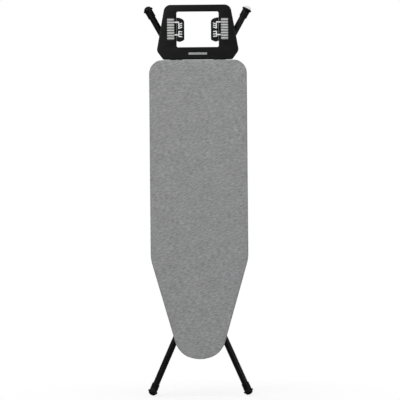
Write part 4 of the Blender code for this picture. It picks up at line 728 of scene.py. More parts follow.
# ==== Expanded steel top ==================================================================================
# Half-millimetre sheet, slit and drawn out into diamonds, so that steam passes.  The strands stand a little
# on edge, and a plain selvedge is left all round, where the sheet is welded to the rim.
top_low, top_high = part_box("mesh_top")
DIAMOND_LENGTH = 0.0180
DIAMOND_HEIGHT = 0.0092
STRAND_WIDTH = 0.0013
SELVEDGE = 0.0105


def powder_finish(name, dark, light, roughness, peel):
    """Baked powder coat: a fine orange-peel skin, broad handling marks and a few worn specks."""
    made, shader, coords = finish(name, light, roughness)
    handling = grain(made, coords, 0.045, 4.0)
    colour = blended(made, between(made, handling, 0.3, 0.7, 0.0, 1.0), dark, light)
    specks = between(made, grain(made, coords, 0.0035, 4.0), 0.735, 0.76, 0.0, 1.0)
    worn = [min(1.0, channel * 1.6 + 0.05) for channel in light]
    made.node_tree.links.new(blended(made, specks, colour, worn), shader.inputs["Base Color"])
    raised(made, shader, grain(made, coords, 0.0011, 1.0), peel)
    spread = between(made, handling, 0.3, 0.7, roughness * 0.85, min(1.0, roughness * 1.25))
    made.node_tree.links.new(spread, shader.inputs["Roughness"])
    return made, shader


GREY_COAT, grey_shader = powder_finish(
    "grey_powder_coat", (0.155, 0.158, 0.163), (0.215, 0.218, 0.224), 0.42, 0.00006
)
grey_shader.inputs["Specular IOR Level"].default_value = 0.55


def strand_tree():
    """Geometry Nodes tree that puts two crossing strands on every point of the diamond lattice."""
    tree = bpy.data.node_groups.new("expanded_mesh", "GeometryNodeTree")
    face = tree.interface
    face.new_socket("Points", in_out="INPUT", socket_type="NodeSocketGeometry")
    for label in ("Strand length", "Strand width", "Strand thickness", "Strand angle", "Strand tilt"):
        face.new_socket(label, in_out="INPUT", socket_type="NodeSocketFloat")
    face.new_socket("Finish", in_out="INPUT", socket_type="NodeSocketMaterial")
    face.new_socket("Mesh", in_out="OUTPUT", socket_type="NodeSocketGeometry")
    nodes, links = tree.nodes, tree.links
    given, result = nodes.new("NodeGroupInput"), nodes.new("NodeGroupOutput")
    size = nodes.new("ShaderNodeCombineXYZ")
    links.new(given.outputs["Strand length"], size.inputs["X"])
    links.new(given.outputs["Strand thickness"], size.inputs["Y"])
    links.new(given.outputs["Strand width"], size.inputs["Z"])
    strand = nodes.new("GeometryNodeMeshCube")
    links.new(size.outputs[0], strand.inputs["Size"])
    pair = nodes.new("GeometryNodeJoinGeometry")
    for sign in (1.0, -1.0):
        swing = nodes.new("ShaderNodeMath")
        swing.operation = "MULTIPLY"
        swing.inputs[1].default_value = sign
        links.new(given.outputs["Strand angle"], swing.inputs[0])
        tilt = nodes.new("ShaderNodeMath")
        tilt.operation = "MULTIPLY"
        tilt.inputs[1].default_value = sign
        links.new(given.outputs["Strand tilt"], tilt.inputs[0])
        turn = nodes.new("ShaderNodeCombineXYZ")
        links.new(tilt.outputs[0], turn.inputs["X"])
        links.new(swing.outputs[0], turn.inputs["Y"])
        laid = nodes.new("GeometryNodeTransform")
        links.new(strand.outputs["Mesh"], laid.inputs["Geometry"])
        links.new(turn.outputs[0], laid.inputs["Rotation"])
        offset = nodes.new("ShaderNodeCombineXYZ")
        offset.inputs["X"].default_value = DIAMOND_LENGTH / 4
        offset.inputs["Z"].default_value = -sign * DIAMOND_HEIGHT / 4
        links.new(offset.outputs[0], laid.inputs["Translation"])
        links.new(laid.outputs["Geometry"], pair.inputs[0])
    copies = nodes.new("GeometryNodeInstanceOnPoints")
    real = nodes.new("GeometryNodeRealizeInstances")
    paint = nodes.new("GeometryNodeSetMaterial")
    links.new(given.outputs["Points"], copies.inputs["Points"])
    links.new(pair.outputs[0], copies.inputs["Instance"])
    links.new(copies.outputs["Instances"], real.inputs["Geometry"])
    links.new(real.outputs["Geometry"], paint.inputs["Geometry"])
    links.new(given.outputs["Finish"], paint.inputs["Material"])
    links.new(paint.outputs["Geometry"], result.inputs["Mesh"])
    return tree


top_inset = HALF_WIDTH - top_high.x
top_middle_y = (top_low.y + top_high.y) / 2
lattice_room = edge_ring(top_inset + SELVEDGE * 0.55, 0.012)
lattice = []
for row in range(int((TAIL_Z - NOSE_Z) / (DIAMOND_HEIGHT / 2))):
    z = TAIL_Z - row * DIAMOND_HEIGHT / 2
    columns = int(HALF_WIDTH / (DIAMOND_LENGTH / 2)) + 1
    for column in range(-columns, columns):
        x = column * DIAMOND_LENGTH / 2
        strand_middle = Vector((x + DIAMOND_LENGTH / 4, z))
        if (row + column) % 2 == 0 and inside(strand_middle, lattice_room):
            lattice.append((x, top_middle_y, z))
lattice_mesh = bpy.data.meshes.new("lattice")
lattice_mesh.from_pydata(lattice, [], [])
lattice_points = bpy.data.objects.new("lattice", lattice_mesh)
bpy.context.scene.collection.objects.link(lattice_points)
strand_settings = {
    "Strand length": math.hypot(DIAMOND_LENGTH, DIAMOND_HEIGHT) / 2 + STRAND_WIDTH * 0.6,
    "Strand width": STRAND_WIDTH,
    "Strand thickness": top_high.y - top_low.y,
    "Strand angle": math.atan2(DIAMOND_HEIGHT, DIAMOND_LENGTH),
    "Strand tilt": math.radians(14),
    "Finish": GREY_COAT,
}
strand_mesh = made_plain(lattice_points, strand_tree(), strand_settings)
strand_mesh.name = "expanded_mesh"
new_piece("expanded_mesh", strand_mesh, GREY_COAT, "board", ["mesh_top"])


def ring_piece(name, rows, spacing, material, stands_for, smooth_angle=40):
    """Closed ring round the board with a cross-section of (inset, y) rows."""
    shape, _ = loft_rows(rows, spacing, closed=True)
    bmesh.ops.recalc_face_normals(shape, faces=shape.faces)
    mesh = bpy.data.meshes.new(name)
    shape.to_mesh(mesh)
    shape.free()
    mesh.shade_smooth()
    mesh.set_sharp_from_angle(angle=math.radians(smooth_angle))
    return new_piece(name, mesh, material, "board", stands_for)


selvedge_rows = [
    (top_inset, top_low.y),
    (top_inset, top_high.y),
    (top_inset + SELVEDGE, top_high.y),
    (top_inset + SELVEDGE, top_low.y),
]
ring_piece("mesh_selvedge", selvedge_rows, 0.006, GREY_COAT, [])

# ==== Rim and ribs ========================================================================================
# The rim is a strip bent to the board's shape, with its edges eased.  The ribs are pressed channels welded
# across it, in the same grey powder coat.
rim_low, rim_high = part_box("edge_rim")
RIM_WIDTH = 0.0025
RIM_EASE = 0.0007


def eased_rows(inset, width, low, high, ease):
    """Rectangular cross-section with its four edges eased."""
    corners = [
        (inset + ease, low + ease, 180, 270),
        (inset + ease, high - ease, 90, 180),
        (inset + width - ease, high - ease, 0, 90),
        (inset + width - ease, low + ease, -90, 0),
    ]
    rows = []
    for middle_inset, middle_y, start, end in corners:
        for angle in (end, (start + end) / 2, start):
            turn = math.radians(angle)
            rows.append((middle_inset + ease * math.cos(turn), middle_y + ease * math.sin(turn)))
    return rows


ring_piece(
    "rim_strip",
    eased_rows(HALF_WIDTH - rim_high.x, RIM_WIDTH, rim_low.y, rim_high.y, RIM_EASE),
    0.006,
    GREY_COAT,
    ["edge_rim"],
)


def eased_copy(node, ease, material, body, segments=2, smooth_angle=34):
    """Copy of a frame piece with its edges eased and its rounds smooth, standing for that piece."""
    shape = bmesh.new()
    shape.from_mesh(frame["nodes"][node].data)
    bmesh.ops.remove_doubles(shape, verts=shape.verts, dist=0.00001)
    bmesh.ops.dissolve_limit(shape, angle_limit=math.radians(1.5), verts=shape.verts, edges=shape.edges)
    mesh = bpy.data.meshes.new(node + "_piece")
    shape.to_mesh(mesh)
    shape.free()
    if "custom_normal" in mesh.attributes:
        mesh.attributes.remove(mesh.attributes["custom_normal"])
    mesh.shade_smooth()
    mesh.set_sharp_from_angle(angle=math.radians(smooth_angle))
    piece = new_piece(node + "_piece", mesh, material, body, [node])
    if ease > 0.0:
        bevel = piece.modifiers.new("Ease", "BEVEL")
        bevel.width = ease
        bevel.segments = segments
        bevel.limit_method = "ANGLE"
        bevel.angle_limit = math.radians(smooth_angle)
        bevel.use_clamp_overlap = True
        bevel.harden_normals = True
    return piece


for rib in ("rib_nose", "rib_pivot", "rib_middle", "rib_tail"):
    eased_copy(rib, 0.0005, GREY_COAT, "board")

# ==== Height track and pivot brackets =====================================================================
# The track is a pressed channel whose slots carry the slider bar.  Two U brackets on the pivot rib take the
# outer legs' bolts.
for pressing in ("height_track", "pivot_bracket_left", "pivot_bracket_right"):
    eased_copy(pressing, 0.0003, GREY_COAT, "board")

# ==== Iron rest frame =====================================================================================
# One black moulding with a fine-textured face, rounded edges and a hollow ribbed back, which takes the two
# arms' screws in solid bosses.  Hinge knuckles for the wings stand on its face.
rest_low, rest_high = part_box("rest_frame")
REST_FRONT_Y = -rest_high.y
REST_BACK_Y = rest_high.y
REST_TOP_Z, REST_BOTTOM_Z = rest_high.z, rest_low.z
REST_EDGE = 0.0030
REST_WALL = 0.0032
REST_RIB = 0.0025
REST_WIDEST = 0.1591
REST_LOW_BAR = 0.0475
OPENING_HALF = 0.0815
OPENING_LOW = REST_BOTTOM_Z + REST_LOW_BAR
REST_CORNERS = [
    (0.134, REST_BOTTOM_Z, 0.012),
    (REST_WIDEST, REST_BOTTOM_Z + 0.0343, 0.020),
    (0.1268, REST_TOP_Z, 0.027),
]
OPENING_CORNERS = [(OPENING_HALF, OPENING_LOW, 0.006), (OPENING_HALF, 0.0, 0.006)]
SCREW_X = 0.070
REST_SCREW_Z = REST_BOTTOM_Z + 0.022
BOSS_RADIUS = 0.0075
BOSS_REACH = 0.03             # past the moulding on both sides, for a clean cut


def plastic_finish(name, dark, light, roughness):
    """Moulded plastic with spark-eroded grain, faint flow marks and rubbed patches."""
    made, shader, coords = finish(name, light, roughness)
    flow = grain(made, coords, 0.05, 3.0, (1.0, 1.0, 0.4))
    shaded(made, shader, between(made, flow, 0.3, 0.7, 0.0, 1.0), dark, light)
    raised(made, shader, grain(made, coords, 0.0008, 2.0), 0.00007)
    rubbed = between(made, grain(made, coords, 0.018, 5.0), 0.35, 0.7, roughness * 1.12, roughness * 0.8)
    made.node_tree.links.new(rubbed, shader.inputs["Roughness"])
    shader.inputs["Specular IOR Level"].default_value = 0.13
    return made


BLACK_PLASTIC = plastic_finish("black_moulding", (0.0045, 0.0048, 0.0045), (0.0068, 0.0072, 0.0068), 0.46)


def rounded(corners, steps, growth=0.0):
    """Closed outline through (x, z, radius) corners, each an arc, moved outwards by growth."""
    outline = []
    for number, (x, z, radius) in enumerate(corners):
        corner = Vector((x, z))
        before = (Vector(corners[number - 1][:2]) - corner).normalized()
        after = (Vector(corners[(number + 1) % len(corners)][:2]) - corner).normalized()
        half = before.angle(after) / 2
        centre = corner + (before + after).normalized() * (radius / math.sin(half))
        start = corner + before * (radius / math.tan(half)) - centre
        end = corner + after * (radius / math.tan(half)) - centre
        first = math.atan2(start.y, start.x)
        turn = start.angle_signed(end)
        for step in range(steps + 1):
            angle = first - turn * step / steps
            outline.append(centre + (radius + growth) * Vector((math.cos(angle), math.sin(angle))))
    return outline


def both_halves(right):
    """The right half's corners and their mirror images, in order round the outline."""
    return right + [(-x, z, radius) for x, z, radius in reversed(right)]


def plate_mesh(name, outlines, low_y, high_y, edge=0.0, edge_steps=3):
    """Flat plate in the XZ plane between two depths, with its edges rounded, as a closed mesh."""
    curve = bpy.data.curves.new(name, "CURVE")
    curve.dimensions = "2D"
    curve.fill_mode = "BOTH"
    curve.extrude = (high_y - low_y) / 2 - edge
    curve.bevel_depth = edge
    curve.bevel_resolution = edge_steps
    curve.offset = -edge
    for outline in outlines:
        spline = curve.splines.new("POLY")
        spline.points.add(len(outline) - 1)
        for point, place in zip(spline.points, outline):
            point.co = (place[0], place[1], 0.0, 1.0)
        spline.use_cyclic_u = True
    holder = bpy.data.objects.new(name, curve)
    bpy.context.scene.collection.objects.link(holder)
    bpy.context.view_layer.update()
    mesh = bpy.data.meshes.new_from_object(holder.evaluated_get(bpy.context.evaluated_depsgraph_get()))
    bpy.data.objects.remove(holder, do_unlink=True)
    shape = bmesh.new()
    shape.from_mesh(mesh)
    bmesh.ops.remove_doubles(shape, verts=shape.verts, dist=0.000005)
    upright = Matrix.Translation((0.0, (low_y + high_y) / 2, 0.0)) @ Matrix.Rotation(math.pi / 2, 4, "X")
    bmesh.ops.transform(shape, verts=shape.verts, matrix=upright)
    bmesh.ops.recalc_face_normals(shape, faces=shape.faces)
    shape.to_mesh(mesh)
    shape.free()
    return mesh


def joined(base_mesh, tools):
    """Base mesh with each (operation, mesh) applied to it, as a plain mesh."""
    base = bpy.data.objects.new("base", base_mesh)
    bpy.context.scene.collection.objects.link(base)
    helpers = []
    for operation, tool_mesh in tools:
        helper = bpy.data.objects.new("tool", tool_mesh)
        bpy.context.scene.collection.objects.link(helper)
        helpers.append(helper)
        step = base.modifiers.new("Step", "BOOLEAN")
        step.operation = operation
        step.solver = "EXACT"
        step.object = helper
    bpy.context.view_layer.update()
    mesh = bpy.data.meshes.new_from_object(base.evaluated_get(bpy.context.evaluated_depsgraph_get()))
    for helper in [base, *helpers]:
        bpy.data.objects.remove(helper, do_unlink=True)
    return mesh


def box_mesh(name, low, high):
    """Plain box between two corners."""
    mesh = bpy.data.meshes.new(name)
    shape = bmesh.new()
    bmesh.ops.create_cube(shape, size=1.0)
    bmesh.ops.scale(shape, vec=Vector(high) - Vector(low), verts=shape.verts)
    bmesh.ops.translate(shape, vec=(Vector(low) + Vector(high)) / 2, verts=shape.verts)
    shape.to_mesh(mesh)
    shape.free()
    return mesh


def smoothed(mesh, angle=32):
    """The same mesh, shaded smooth except over edges sharper than an angle in degrees."""
    mesh.shade_smooth()
    mesh.set_sharp_from_angle(angle=math.radians(angle))
    return mesh


def skinned(name, shape, rings, smooth_angle):
    """Closed mesh from rings of corners, each joined to the next, with both ends capped."""
    for before, after in zip(rings, rings[1:]):
        for step in range(len(before)):
            following = (step + 1) % len(before)
            shape.faces.new((before[step], before[following], after[following], after[step]))
    shape.faces.new(rings[0])
    shape.faces.new(rings[-1])
    bmesh.ops.recalc_face_normals(shape, faces=shape.faces)
    mesh = bpy.data.meshes.new(name)
    shape.to_mesh(mesh)
    shape.free()
    return smoothed(mesh, smooth_angle)


rest_outer, rest_inner = both_halves(REST_CORNERS), both_halves(OPENING_CORNERS)
rest_plate = plate_mesh(
    "rest_plate", [rounded(rest_outer, 14), rounded(rest_inner, 6)], REST_FRONT_Y, REST_BACK_Y, REST_EDGE, 4
)
pocket_outlines = [rounded(rest_outer, 10, -REST_WALL), rounded(rest_inner, 5, REST_WALL)]
rest_pocket = plate_mesh("rest_pocket", pocket_outlines, REST_FRONT_Y + REST_WALL, REST_BACK_Y + 0.01)
bar_middle = (OPENING_HALF + REST_WIDEST) / 2
rib_boxes = [(0.0, REST_TOP_Z / 2, REST_RIB / 2, REST_TOP_Z)]
rib_boxes += [(0.0, REST_BOTTOM_Z + REST_LOW_BAR / 2, REST_RIB / 2, REST_LOW_BAR)]
for _, side in SIDES:
    rib_boxes.append((side * OPENING_HALF, REST_TOP_Z / 2, REST_RIB / 2, REST_TOP_Z))
    low_bar_middle = REST_BOTTOM_Z + REST_LOW_BAR / 2
    rib_boxes.append((side * OPENING_HALF, low_bar_middle, REST_RIB / 2, REST_LOW_BAR))
    for z in (0.0, OPENING_LOW / 2, OPENING_LOW):
        rib_boxes.append((side * bar_middle, z, REST_WIDEST - bar_middle, REST_RIB / 2))
pocket_cuts = []
for x, z, half_x, half_z in rib_boxes:
    low = (x - half_x, REST_FRONT_Y - 0.01, z - half_z)
    high = (x + half_x, REST_BACK_Y + 0.02, z + half_z)
    pocket_cuts.append(("DIFFERENCE", box_mesh("rest_rib", low, high)))
for _, side in SIDES:
    boss_profile = [
        (0.0, BOSS_REACH),
        (BOSS_RADIUS, BOSS_REACH),
        (BOSS_RADIUS, -BOSS_REACH),
        (0.0, -BOSS_REACH),
    ]
    boss = turned_mesh("boss", boss_profile, 32, (0, 1, 0), (side * SCREW_X, 0.0, REST_SCREW_Z))
    pocket_cuts.append(("DIFFERENCE", boss))
rest_steps = [("DIFFERENCE", joined(rest_pocket, pocket_cuts))]

PIN_X = 0.0865
PIN_Y = REST_FRONT_Y - 0.0036
PIN_LOW, PIN_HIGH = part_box("wing_pin_right")[0].z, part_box("wing_pin_right")[1].z
KNUCKLE_RADIUS = 0.0032
KNUCKLE_LENGTH = 0.008
PIN_BORE = 0.0018
BORE_REACH = 0.06
STRAP_LEVELS = {"upper": -0.0425, "lower": -0.0915}
knuckle_levels = (
    PIN_HIGH - KNUCKLE_LENGTH / 2,
    sum(STRAP_LEVELS.values()) / 2,
    PIN_LOW + KNUCKLE_LENGTH / 2,
)
for _, side in SIDES:
    for level in knuckle_levels:
        half = KNUCKLE_LENGTH / 2
        barrel = [
            (0.0, half),
            (KNUCKLE_RADIUS - 0.0005, half),
            (KNUCKLE_RADIUS, half - 0.0005),
            (KNUCKLE_RADIUS, -half + 0.0005),
            (KNUCKLE_RADIUS - 0.0005, -half),
            (0.0, -half),
        ]
        rest_steps.append(("UNION", turned_mesh("barrel", barrel, 28, place=(side * PIN_X, PIN_Y, level))))
        low = (side * PIN_X - KNUCKLE_RADIUS, PIN_Y, level - half + 0.0004)
        high = (side * PIN_X + KNUCKLE_RADIUS, REST_FRONT_Y + 0.002, level + half - 0.0004)
        rest_steps.append(("UNION", box_mesh("knuckle_foot", low, high)))
    bore_profile = [(0.0, BORE_REACH), (PIN_BORE, BORE_REACH), (PIN_BORE, -BORE_REACH), (0.0, -BORE_REACH)]
    bore_place = (side * PIN_X, PIN_Y, (PIN_LOW + PIN_HIGH) / 2)
    rest_steps.append(("DIFFERENCE", turned_mesh("bore", bore_profile, 20, place=bore_place)))
rest_mesh = smoothed(joined(rest_plate, rest_steps))
new_piece("rest_moulding", rest_mesh, BLACK_PLASTIC, "board", ["rest_frame"])

# ==== Heat pads and inlay strip ===========================================================================
# Two pale silicone pads with rounded cross ribs sit on the rest's side bars, where a hot iron lies.  A plain
# strip of the same silicone is let into the lower bar.
RIB_PITCH = 0.0103
RIB_RISE = 0.0016
RIB_SHARE = 0.62              # of the pitch that a rib covers
# colour of the painted shade down in the valleys between the pad's ribs
RIB_VALLEY_SHADE = (0.105, 0.106, 0.104)


def silicone_finish(name, dark, light, roughness, shade_y=None, shade_end_y=None):
    """Satin silicone: slightly see-into, with a fine moulded skin, and painted shade down between its ribs.
    """
    made, shader, coords = finish(name, light, roughness)
    dust = grain(made, coords, 0.006, 4.0)
    colour = shaded(made, shader, between(made, dust, 0.35, 0.65, 0.0, 1.0), dark, light)
    # painted shade: the colour darkens with depth, from full colour at the rib crests to the shade colour
    # down in the valleys
    if shade_y is not None:
        places = made.node_tree.nodes.new("ShaderNodeSeparateXYZ")
        made.node_tree.links.new(coords, places.inputs[0])
        height = between(made, places.outputs["Y"], shade_y, shade_end_y, 0.0, 1.0)
        ribbed = blended(made, height, RIB_VALLEY_SHADE, colour)
        made.node_tree.links.new(ribbed, shader.inputs["Base Color"])
    raised(made, shader, grain(made, coords, 0.0009, 2.0), 0.00005)
    shader.inputs["Subsurface Weight"].default_value = 0.12
    shader.inputs["Subsurface Radius"].default_value = (0.003, 0.003, 0.003)
    shader.inputs["Subsurface Scale"].default_value = 0.6
    shader.inputs["Specular IOR Level"].default_value = 0.4
    return made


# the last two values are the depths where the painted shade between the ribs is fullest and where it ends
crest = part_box("heat_pad_right")[0].y
PAD_SILICONE = silicone_finish(
    "pale_silicone_pad",
    (0.41, 0.42, 0.40),
    (0.51, 0.52, 0.50),
    0.55,
    crest + RIB_RISE * 0.85,
    crest + RIB_RISE * 0.45,
)
STRAP_SILICONE = silicone_finish("pale_silicone_strap", (0.62, 0.64, 0.63), (0.74, 0.76, 0.75), 0.45)


def ribbed_strip(name, low, high, pitch, rise, rib_share):
    """Strip whose front carries rounded cross ribs, closed, with its ends square."""
    front = low.y + rise
    count = max(1, int((high.z - low.z) / pitch + 1e-6))
    margin = ((high.z - low.z) - count * pitch) / 2
    side_view = [(high.y, low.z), (front, low.z)]
    for number in range(count):
        middle = low.z + margin + (number + 0.5) * pitch
        half = pitch * rib_share / 2
        for step in range(9):
            angle = math.pi * step / 8
            side_view.append((front - rise * math.sin(angle) ** 0.6, middle - half * math.cos(angle)))
    side_view += [(front, high.z), (high.y, high.z)]
    ease = 0.0005
    shape = bmesh.new()
    middle_y = (low.y + high.y) / 2
    middle_z = (low.z + high.z) / 2
    sections = []
    for x, shrink in ((low.x, ease), (low.x + ease, 0.0), (high.x - ease, 0.0), (high.x, ease)):
        ring = []
        for y, z in side_view:
            inwards = Vector((0.0, middle_y - y, middle_z - z))
            pull = Vector((0.0, math.copysign(shrink, inwards.y), math.copysign(shrink, inwards.z)))
            ring.append(shape.verts.new(Vector((x, y, z)) + pull))
        sections.append(ring)
    return skinned(name, shape, sections, 50)


for side_name, _ in SIDES:
    pad_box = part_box(f"heat_pad_{side_name}")
    strip = ribbed_strip(f"ribbed_pad_{side_name}", *pad_box, RIB_PITCH, RIB_RISE, RIB_SHARE)
    new_piece(
        f"ribbed_pad_{side_name}", strip, PAD_SILICONE, "board", [f"heat_pad_{side_name}"]
    )

INLAY_SILICONE = silicone_finish("grey_silicone_inlay", (0.24, 0.245, 0.24), (0.33, 0.335, 0.33), 0.5)
badge_low, badge_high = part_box("rest_badge")
badge_round = (badge_high.z - badge_low.z) * 0.3
badge_corners = [
    (badge_low.x, badge_low.z, badge_round),
    (badge_high.x, badge_low.z, badge_round),
    (badge_high.x, badge_high.z, badge_round),
    (badge_low.x, badge_high.z, badge_round),
]
badge_mesh = smoothed(
    plate_mesh("inlay_strip", [rounded(badge_corners, 6)], badge_low.y, badge_high.y, 0.0003, 2)
)
new_piece("inlay_strip", badge_mesh, INLAY_SILICONE, "board", ["rest_badge"])

# ==== Wings, straps and pins ==============================================================================
# Two thin black wings lie in the rest's opening and turn up to hold the iron.  Each hangs on two pale straps
# that turn on a steel pin, and the straps' inner ends are combs.
WING_EDGE = 0.0007
WING_SHOULDER = 0.017
for side_name, side in SIDES:
    body = f"wing_{side_name}"
    wing_low, wing_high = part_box(body)
    inner_x, outer_x = sorted((abs(wing_low.x), abs(wing_high.x)))
    outline = [Vector((outer_x, wing_low.z + 0.0035)), Vector((outer_x, wing_high.z))]
    for step in range(1, 9):
        angle = math.radians(90 * step / 8)
        reach = outer_x - inner_x
        drop = WING_SHOULDER * (1 - math.cos(angle))
        outline.append(Vector((outer_x - reach * math.sin(angle), wing_high.z - drop)))
    outline += [
        Vector((inner_x, wing_low.z + 0.0110)),
        Vector((inner_x + 0.0012, wing_low.z + 0.0078)),
        Vector((inner_x + 0.0060, wing_low.z + 0.0045)),
        Vector((inner_x + 0.0190, wing_low.z)),
    ]
    places = [Vector((side * place.x, place.y)) for place in outline]
    plate_name = f"wing_plate_{side_name}"
    wing_mesh = smoothed(plate_mesh(plate_name, [places], wing_low.y, wing_high.y, WING_EDGE, 2))
    new_piece(plate_name, wing_mesh, BLACK_PLASTIC, body, [body])
    for level in STRAP_LEVELS:
        node = f"wing_strap_{level}_{side_name}"
        eased_copy(node, 0.00025, STRAP_SILICONE, body, 2, 30)

# ==== Zinc fastenings =====================================================================================
# Bright zinc-plated steel: pan-head screws hold the rest's two arms to the tail rib and to the rest.
SCREW_HEAD = 0.0048
SCREW_HEAD_HEIGHT = 0.0024
SCREW_SHANK = 0.0025


def zinc_finish():
    """Zinc plate with a drawn grain and a faint bloom."""
    made, shader, coords = finish("zinc_plate", (0.60, 0.61, 0.62), 0.32, 1.0)
    bloom = grain(made, coords, 0.006, 4.0)
    shaded(made, shader, between(made, bloom, 0.3, 0.7, 0.0, 1.0), (0.50, 0.51, 0.53), (0.68, 0.68, 0.67))
    drawn = grain(made, coords, 0.0008, 2.0, (14.0, 1.0, 1.0))
    raised(made, shader, drawn, 0.00003)
    made.node_tree.links.new(between(made, bloom, 0.3, 0.7, 0.24, 0.46), shader.inputs["Roughness"])
    return made


ZINC = zinc_finish()


def screw_mesh(depth):
    """Pan-head screw along Z, with a crossed recess in its head and its shank down to depth."""
    head = SCREW_HEAD_HEIGHT
    profile = [
        (0.0, head),
        (SCREW_HEAD * 0.50, head),
        (SCREW_HEAD * 0.80, head * 0.86),
        (SCREW_HEAD * 0.96, head * 0.55),
        (SCREW_HEAD, head * 0.15),
        (SCREW_HEAD, 0.0),
        (SCREW_SHANK, 0.0),
    ]
    turns = int(depth / 0.0011)
    for number in range(turns):
        top = -depth * number / turns
        profile += [(SCREW_SHANK, top - 0.0002), (SCREW_SHANK * 0.82, top - 0.0006)]
    profile += [(SCREW_SHANK * 0.82, -depth + 0.0008), (0.0, -depth)]
    solid = turned_mesh("screw", profile, 28)
    arm, width = SCREW_HEAD * 0.52, 0.00055
    cross = [
        ("DIFFERENCE", box_mesh("slot", (-arm, -width, head - 0.0011), (arm, width, head + 0.001))),
        ("DIFFERENCE", box_mesh("slot", (-width, -arm, head - 0.00111), (width, arm, head + 0.001))),
    ]
    return smoothed(joined(solid, cross), 30)


screw_seat_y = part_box("rib_screw_right")[1].y - SCREW_HEAD_HEIGHT
rib_screw_z = sum(corner.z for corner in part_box("rib_screw_right")) / 2
for place_name, z in (("rib", rib_screw_z), ("rest", REST_SCREW_Z)):
    nodes = [f"{place_name}_screw_{side_name}" for side_name, _ in SIDES]
    depth = screw_seat_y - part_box(nodes[0])[0].y
    turns = [Euler((math.radians(-90), math.radians(angle), 0.0)) for angle in (18, 63)]
    places = [((side * SCREW_X, screw_seat_y, z), turn) for (_, side), turn in zip(SIDES, turns)]
    mesh = repeated(f"{place_name}_screws", screw_mesh(depth), places, ZINC, 30)
    new_piece(f"{place_name}_screws", mesh, ZINC, "board", nodes)

# ==== Rest arms and wing pins ============================================================================
# Flat black steel arms run from the tail rib to the back of the rest and carry it behind the board's tail.
# The pins that the wings' straps turn on have the same black coat.
BLACK_COAT, black_shader = powder_finish(
    "black_powder_coat", (0.0016, 0.0018, 0.0018), (0.0034, 0.0037, 0.0035), 0.34, 0.00004
)
black_shader.inputs["Specular IOR Level"].default_value = 0.14
for side_name, _ in SIDES:
    eased_copy(f"rest_arm_{side_name}", 0.0007, BLACK_COAT, "board", 3)
    eased_copy(f"wing_pin_{side_name}", 0.0003, BLACK_COAT, "board", 2, 40)

# ==== Leg tubes and braces ================================================================================
# Round steel tube in gloss black powder coat.  Each leg is straight along the board and bent outwards to its
# foot; a thinner tube, coped and welded, braces each pair.
TUBE_RADIUS = 0.0125
BEND_RADIUS = 0.060
BRACE_RADIUS = 0.008
FRAME_Y = frame["joints"][0]["pos_m"][1]
UPPER_FOOT_PAST_EDGE = 0.009
LOWER_FOOT_PAST_EDGE = 0.002
FOOT_HALF_SPACING = {1: HALF_WIDTH + UPPER_FOOT_PAST_EDGE, -1: HALF_WIDTH + LOWER_FOOT_PAST_EDGE}
OUTER_SPLAY, INNER_SPLAY = math.radians(29.0), math.radians(23.75)
UPPER_TIP_Z = 0.021
LOWER_TIP_Z = NOSE_Z - 0.140
DOME_LENGTH = 0.011
FLANGE_LENGTH = 0.007
SLEEVE_LENGTH = 0.030
TUBE_SIDES = 44
BRACE_SIDES = 32


def foot_axis(side, splay, tip_z, upwards):
    """Tip of a foot, and the direction from it into its leg."""
    tip = Vector((side * FOOT_HALF_SPACING[upwards], FRAME_Y, tip_z))
    return tip, Vector((-side * math.sin(splay), 0.0, -upwards * math.cos(splay)))


def bent_path(start, corner, end, radius, steps=16):
    """Points from start to end with the corner rounded, close together only along the bend."""
    before = (start - corner).normalized()
    after = (end - corner).normalized()
    half = before.angle(after) / 2
    centre = corner + (before + after).normalized() * (radius / math.sin(half))
    first = corner + before * (radius / math.tan(half)) - centre
    last = corner + after * (radius / math.tan(half)) - centre
    turn = first.angle(last)
    path = [start]
    for step in range(steps + 1):
        share = step / steps
        path.append(
            centre + (first * math.sin((1 - share) * turn) + last * math.sin(share * turn)) / math.sin(turn)
        )
    return path + [end]


def tube_mesh(name, path, radius, sides):
    """Closed tube along a flat path of points, with its ends square."""
    shape = bmesh.new()
    rings = []
    for number, place in enumerate(path):
        before = (place - path[number - 1]).normalized() if number else (path[1] - place).normalized()
        after = (path[number + 1] - place).normalized() if number + 1 < len(path) else before
        along = (before + after).normalized()
        across = Vector((0.0, 1.0, 0.0))
        level = along.cross(across).normalized()
        stretch = 1.0 / max(0.5, before.dot(along))
        ring = []
        for step in range(sides):
            angle = 2 * math.pi * step / sides
            reach = across * math.cos(angle) + level * (math.sin(angle) * stretch)
            ring.append(shape.verts.new(place + reach * radius))
        rings.append(ring)
    return skinned(name, shape, rings, 40)


LEGS = {
    "outer": ("outer_legs", OUTER_SPLAY, UPPER_TIP_Z, 1),
    "inner": ("inner_legs", INNER_SPLAY, LOWER_TIP_Z, -1),
}
for frame_name, (body, splay, tip_z, upwards) in LEGS.items():
    plug_low, plug_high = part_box(f"{frame_name}_plug_right")
    spacing = (plug_low.x + plug_high.x) / 2
    leg_low, leg_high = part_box(f"{frame_name}_leg_right")
    end_z = leg_low.z if upwards > 0 else leg_high.z
    for side_name, side in SIDES:
        tip, into_leg = foot_axis(side, splay, tip_z, upwards)
        start = tip + into_leg * (DOME_LENGTH + FLANGE_LENGTH / 2 + 0.0003)
        corner = tip + into_leg * ((FOOT_HALF_SPACING[upwards] - spacing) / math.sin(splay))
        path = bent_path(start, corner, Vector((side * spacing, FRAME_Y, end_z)), BEND_RADIUS)
        name = f"{frame_name}_leg_{side_name}"
        leg_mesh = tube_mesh(name, path, TUBE_RADIUS, TUBE_SIDES)
        new_piece(name + "_tube", leg_mesh, BLACK_COAT, body, [name])
    brace = f"{frame_name}_brace"
    brace_z = sum(corner.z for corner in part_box(brace)) / 2
    reach = spacing - TUBE_RADIUS * 0.7
    ends = [Vector((-reach, FRAME_Y, brace_z)), Vector((reach, FRAME_Y, brace_z))]
    brace_mesh = tube_mesh(brace, ends, BRACE_RADIUS, BRACE_SIDES)
    new_piece(brace + "_tube", brace_mesh, BLACK_COAT, body, [brace])

